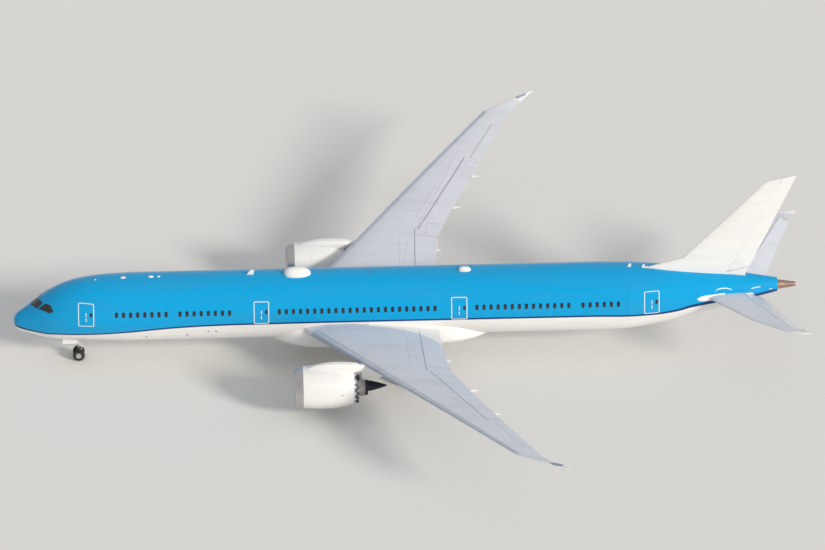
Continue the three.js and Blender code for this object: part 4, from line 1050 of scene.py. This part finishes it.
# Humps on the crown: x of their ends, half width, height.
humps = {"satcom": (23.29, 25.66, 0.62, 0.6), "dome": (38.35, 39.45, 0.34, 0.3), "front": (9.2, 9.7, 0.15, 0.1),
         "pairFront": (11.6, 12.1, 0.15, 0.1), "pairRear": (12.35, 12.68, 0.1, 0.07),
         "small": (6.95, 7.15, 0.08, 0.05)}
# Blade aerials: x of the front, chord, height, 1 on the crown or -1 on the belly.
aerials = [(20.05, 0.62, 0.46, 1), (52.86, 0.36, 0.3, 1), (54.1, 0.3, 0.26, 1), (15.6, 0.42, 0.34, -1),
           (46.4, 0.4, 0.3, -1)]
beacon = {"from": (30.65, 0, 8.15), "to": (30.65, 0, 8.28)}


def buildRoofItems():
    meshes = []
    for start, end, width, height in humps.values():
        def hump(u, v):
            x = start + (end - start) * v
            full = sqrt(max(0, 1 - abs(2 * (v ** 0.85) - 1) ** 2.4))
            angle = pi * (1.15 * u - 0.075)
            middle, _, top, _ = bodySection(x)
            return at(x, width * full * cos(angle),
                      middle + top - 0.06 + (height + 0.06) * full * sin(angle))

        meshes.append(closeEnds(sheetMesh(hump, 24, 24)))
    for x, chord, height, way in aerials:
        middle, _, top, bottom = bodySection(x)
        foot = middle + (top if way > 0 else -bottom)
        blade = bmesh.new()
        bmesh.ops.create_cube(blade, size=1)
        for vertex in blade.verts:
            tip, u = vertex.co.z > 0, vertex.co.x + 0.5
            vertex.co = at(x + chord * (0.6 + 0.5 * u if tip else u), vertex.co.y * (0.024 if tip else 0.06),
                           foot + way * (height if tip else -0.05))
        rounded(blade, blade.edges[:], 0.002)
        meshes.append(outward(blade))
    newPiece("roof_aerials", gather(meshes), white)
    lamp = [(0, 0), (0, 0.06), (0.5, 0.06), (0.8, 0.045), (1, 0)]
    newPiece("beacon", turned(beacon["from"], beacon["to"], lamp), redLens)


# White marks on the tail: rows of (x, z) along each, with its half width.
tailMarks = {
    "arc": ([(60.46, 6.35), (60.58, 6.47), (60.9, 6.55), (61.36, 6.53), (61.67, 6.44), (61.95, 6.33)], 0.035),
    "stripe": ([(63.55, 6.24), (64, 6.28), (64.42, 6.29)], 0.035),
    "dash": ([(65.18, 5.97), (65.42, 5.99)], 0.035),
}
# The rounded fairing ahead of each tailplane root: x and middle z of its ends.
tailGlove = {"x": (58.85, 61.3), "z": (5.86, 5.9), "half": 0.27, "proud": 0.12}


def buildTailMarks():
    marks = []
    for rows, half in tailMarks.values():
        def stripe(u, v):
            x = rows[0][0] + (rows[-1][0] - rows[0][0]) * v
            z = smoothRow(rows, x)[0] + half * (2 * u - 1) * min(1, 6 * v + 0.2, 6 * (1 - v) + 0.2)
            return onBody(x, bodyAngle(x, z), 0.006)

        marks.append(thickened(sheetMesh(stripe, 2, 24), 0.004))
    newPair("tail_marks", gather(marks), white)

    def glove(u, v):
        x, z = (a + (b - a) * v for a, b in (tailGlove["x"], tailGlove["z"]))
        full = sqrt(1 - (1 - min(1, v / 0.35)) ** 2)
        z += tailGlove["half"] * full * sin(pi * (u - 0.5))
        return onBody(x, bodyAngle(x, z), tailGlove["proud"] * full * cos(pi * (u - 0.5)) - 0.004)

    newPair("tailplane_root_glove", closeEnds(sheetMesh(glove, 20, 32)), white)


tipLamp = ((44.6, 29.12, 7.29), (44.95, 29.32, 7.32))  # its ends


# A cap and a lamp at each wing tip.
def buildTipLamps():
    start, end = tipCap["radius"]
    newPair("wing_tip_cap", bar(tipCap["from"], tipCap["to"], start, end), edgeCoating)
    rows = [(0, 0), (0, 0.02), (0.3, 0.035), (0.7, 0.03), (1, 0)]
    for side, way, lens in (("starboard", 1, greenLens), ("port", -1, redLens)):
        ends = [(x, way * y, z) for x, y, z in tipLamp]
        newPiece("tip_lamp_" + side, turned(*ends, rows), lens)


# A soft key from the side that the sun stands on in the photograph, and a pale room.
lighting = {
    "keyFrom": (0.742, -0.6, 0.42),
    "key": 2.65,
    "keySpread": 12,
    "keyColour": "#FFF8EF",
    "fill": 0.62,
    "fillColour": "#ECEEF2",
    "floor": "#E6E5E2",
    "floorRadius": 700,
}


def buildStage():
    floor = bmesh.new()
    bmesh.ops.create_circle(floor, cap_ends=True, segments=96, radius=lighting["floorRadius"])
    item = addObject("floor", meshData("floor", floor))
    made = bpy.data.materials.new("pale_floor")
    made.use_nodes = True
    inputs = made.node_tree.nodes["Principled BSDF"].inputs
    inputs["Base Color"].default_value = colour(lighting["floor"])
    inputs["Roughness"].default_value = 0.9
    item.data.materials.append(made)
    sun = bpy.data.lights.new("key", "SUN")
    sun.energy = lighting["key"]
    sun.angle = radians(lighting["keySpread"])
    sun.color = colour(lighting["keyColour"])[:3]
    addObject("key", sun).rotation_euler = Vector(lighting["keyFrom"]).to_track_quat("Z", "Y").to_euler()
    world = bpy.data.worlds.new("paleRoom")
    world.use_nodes = True
    inputs = world.node_tree.nodes["Background"].inputs
    inputs[0].default_value = colour(lighting["fillColour"])
    inputs[1].default_value = lighting["fill"]
    bpy.context.scene.world = world
    bpy.context.scene.view_settings.view_transform = "Standard"


skins = buildFuselage()
print("fuselage built")
buildCargoDoors(skins)
carve(skins["nose_section"], block(*wheelWell))
liningInside(skins)
print("holds and wheel well cut")
buildPassengerDoors()
buildWindows()
buildVents()
buildCockpitGlass()
print("doors and windows set")
buildFairing()
buildSurfaces()
print("wings and tail finished")
buildEngines()
buildTailCone()
print("engines built")
buildWheels()
buildNoseGear()
buildMainGear()
buildRoofItems()
buildTailMarks()
buildTipLamps()
print("landing gear and aerials built")
buildStage()
placeCamera()
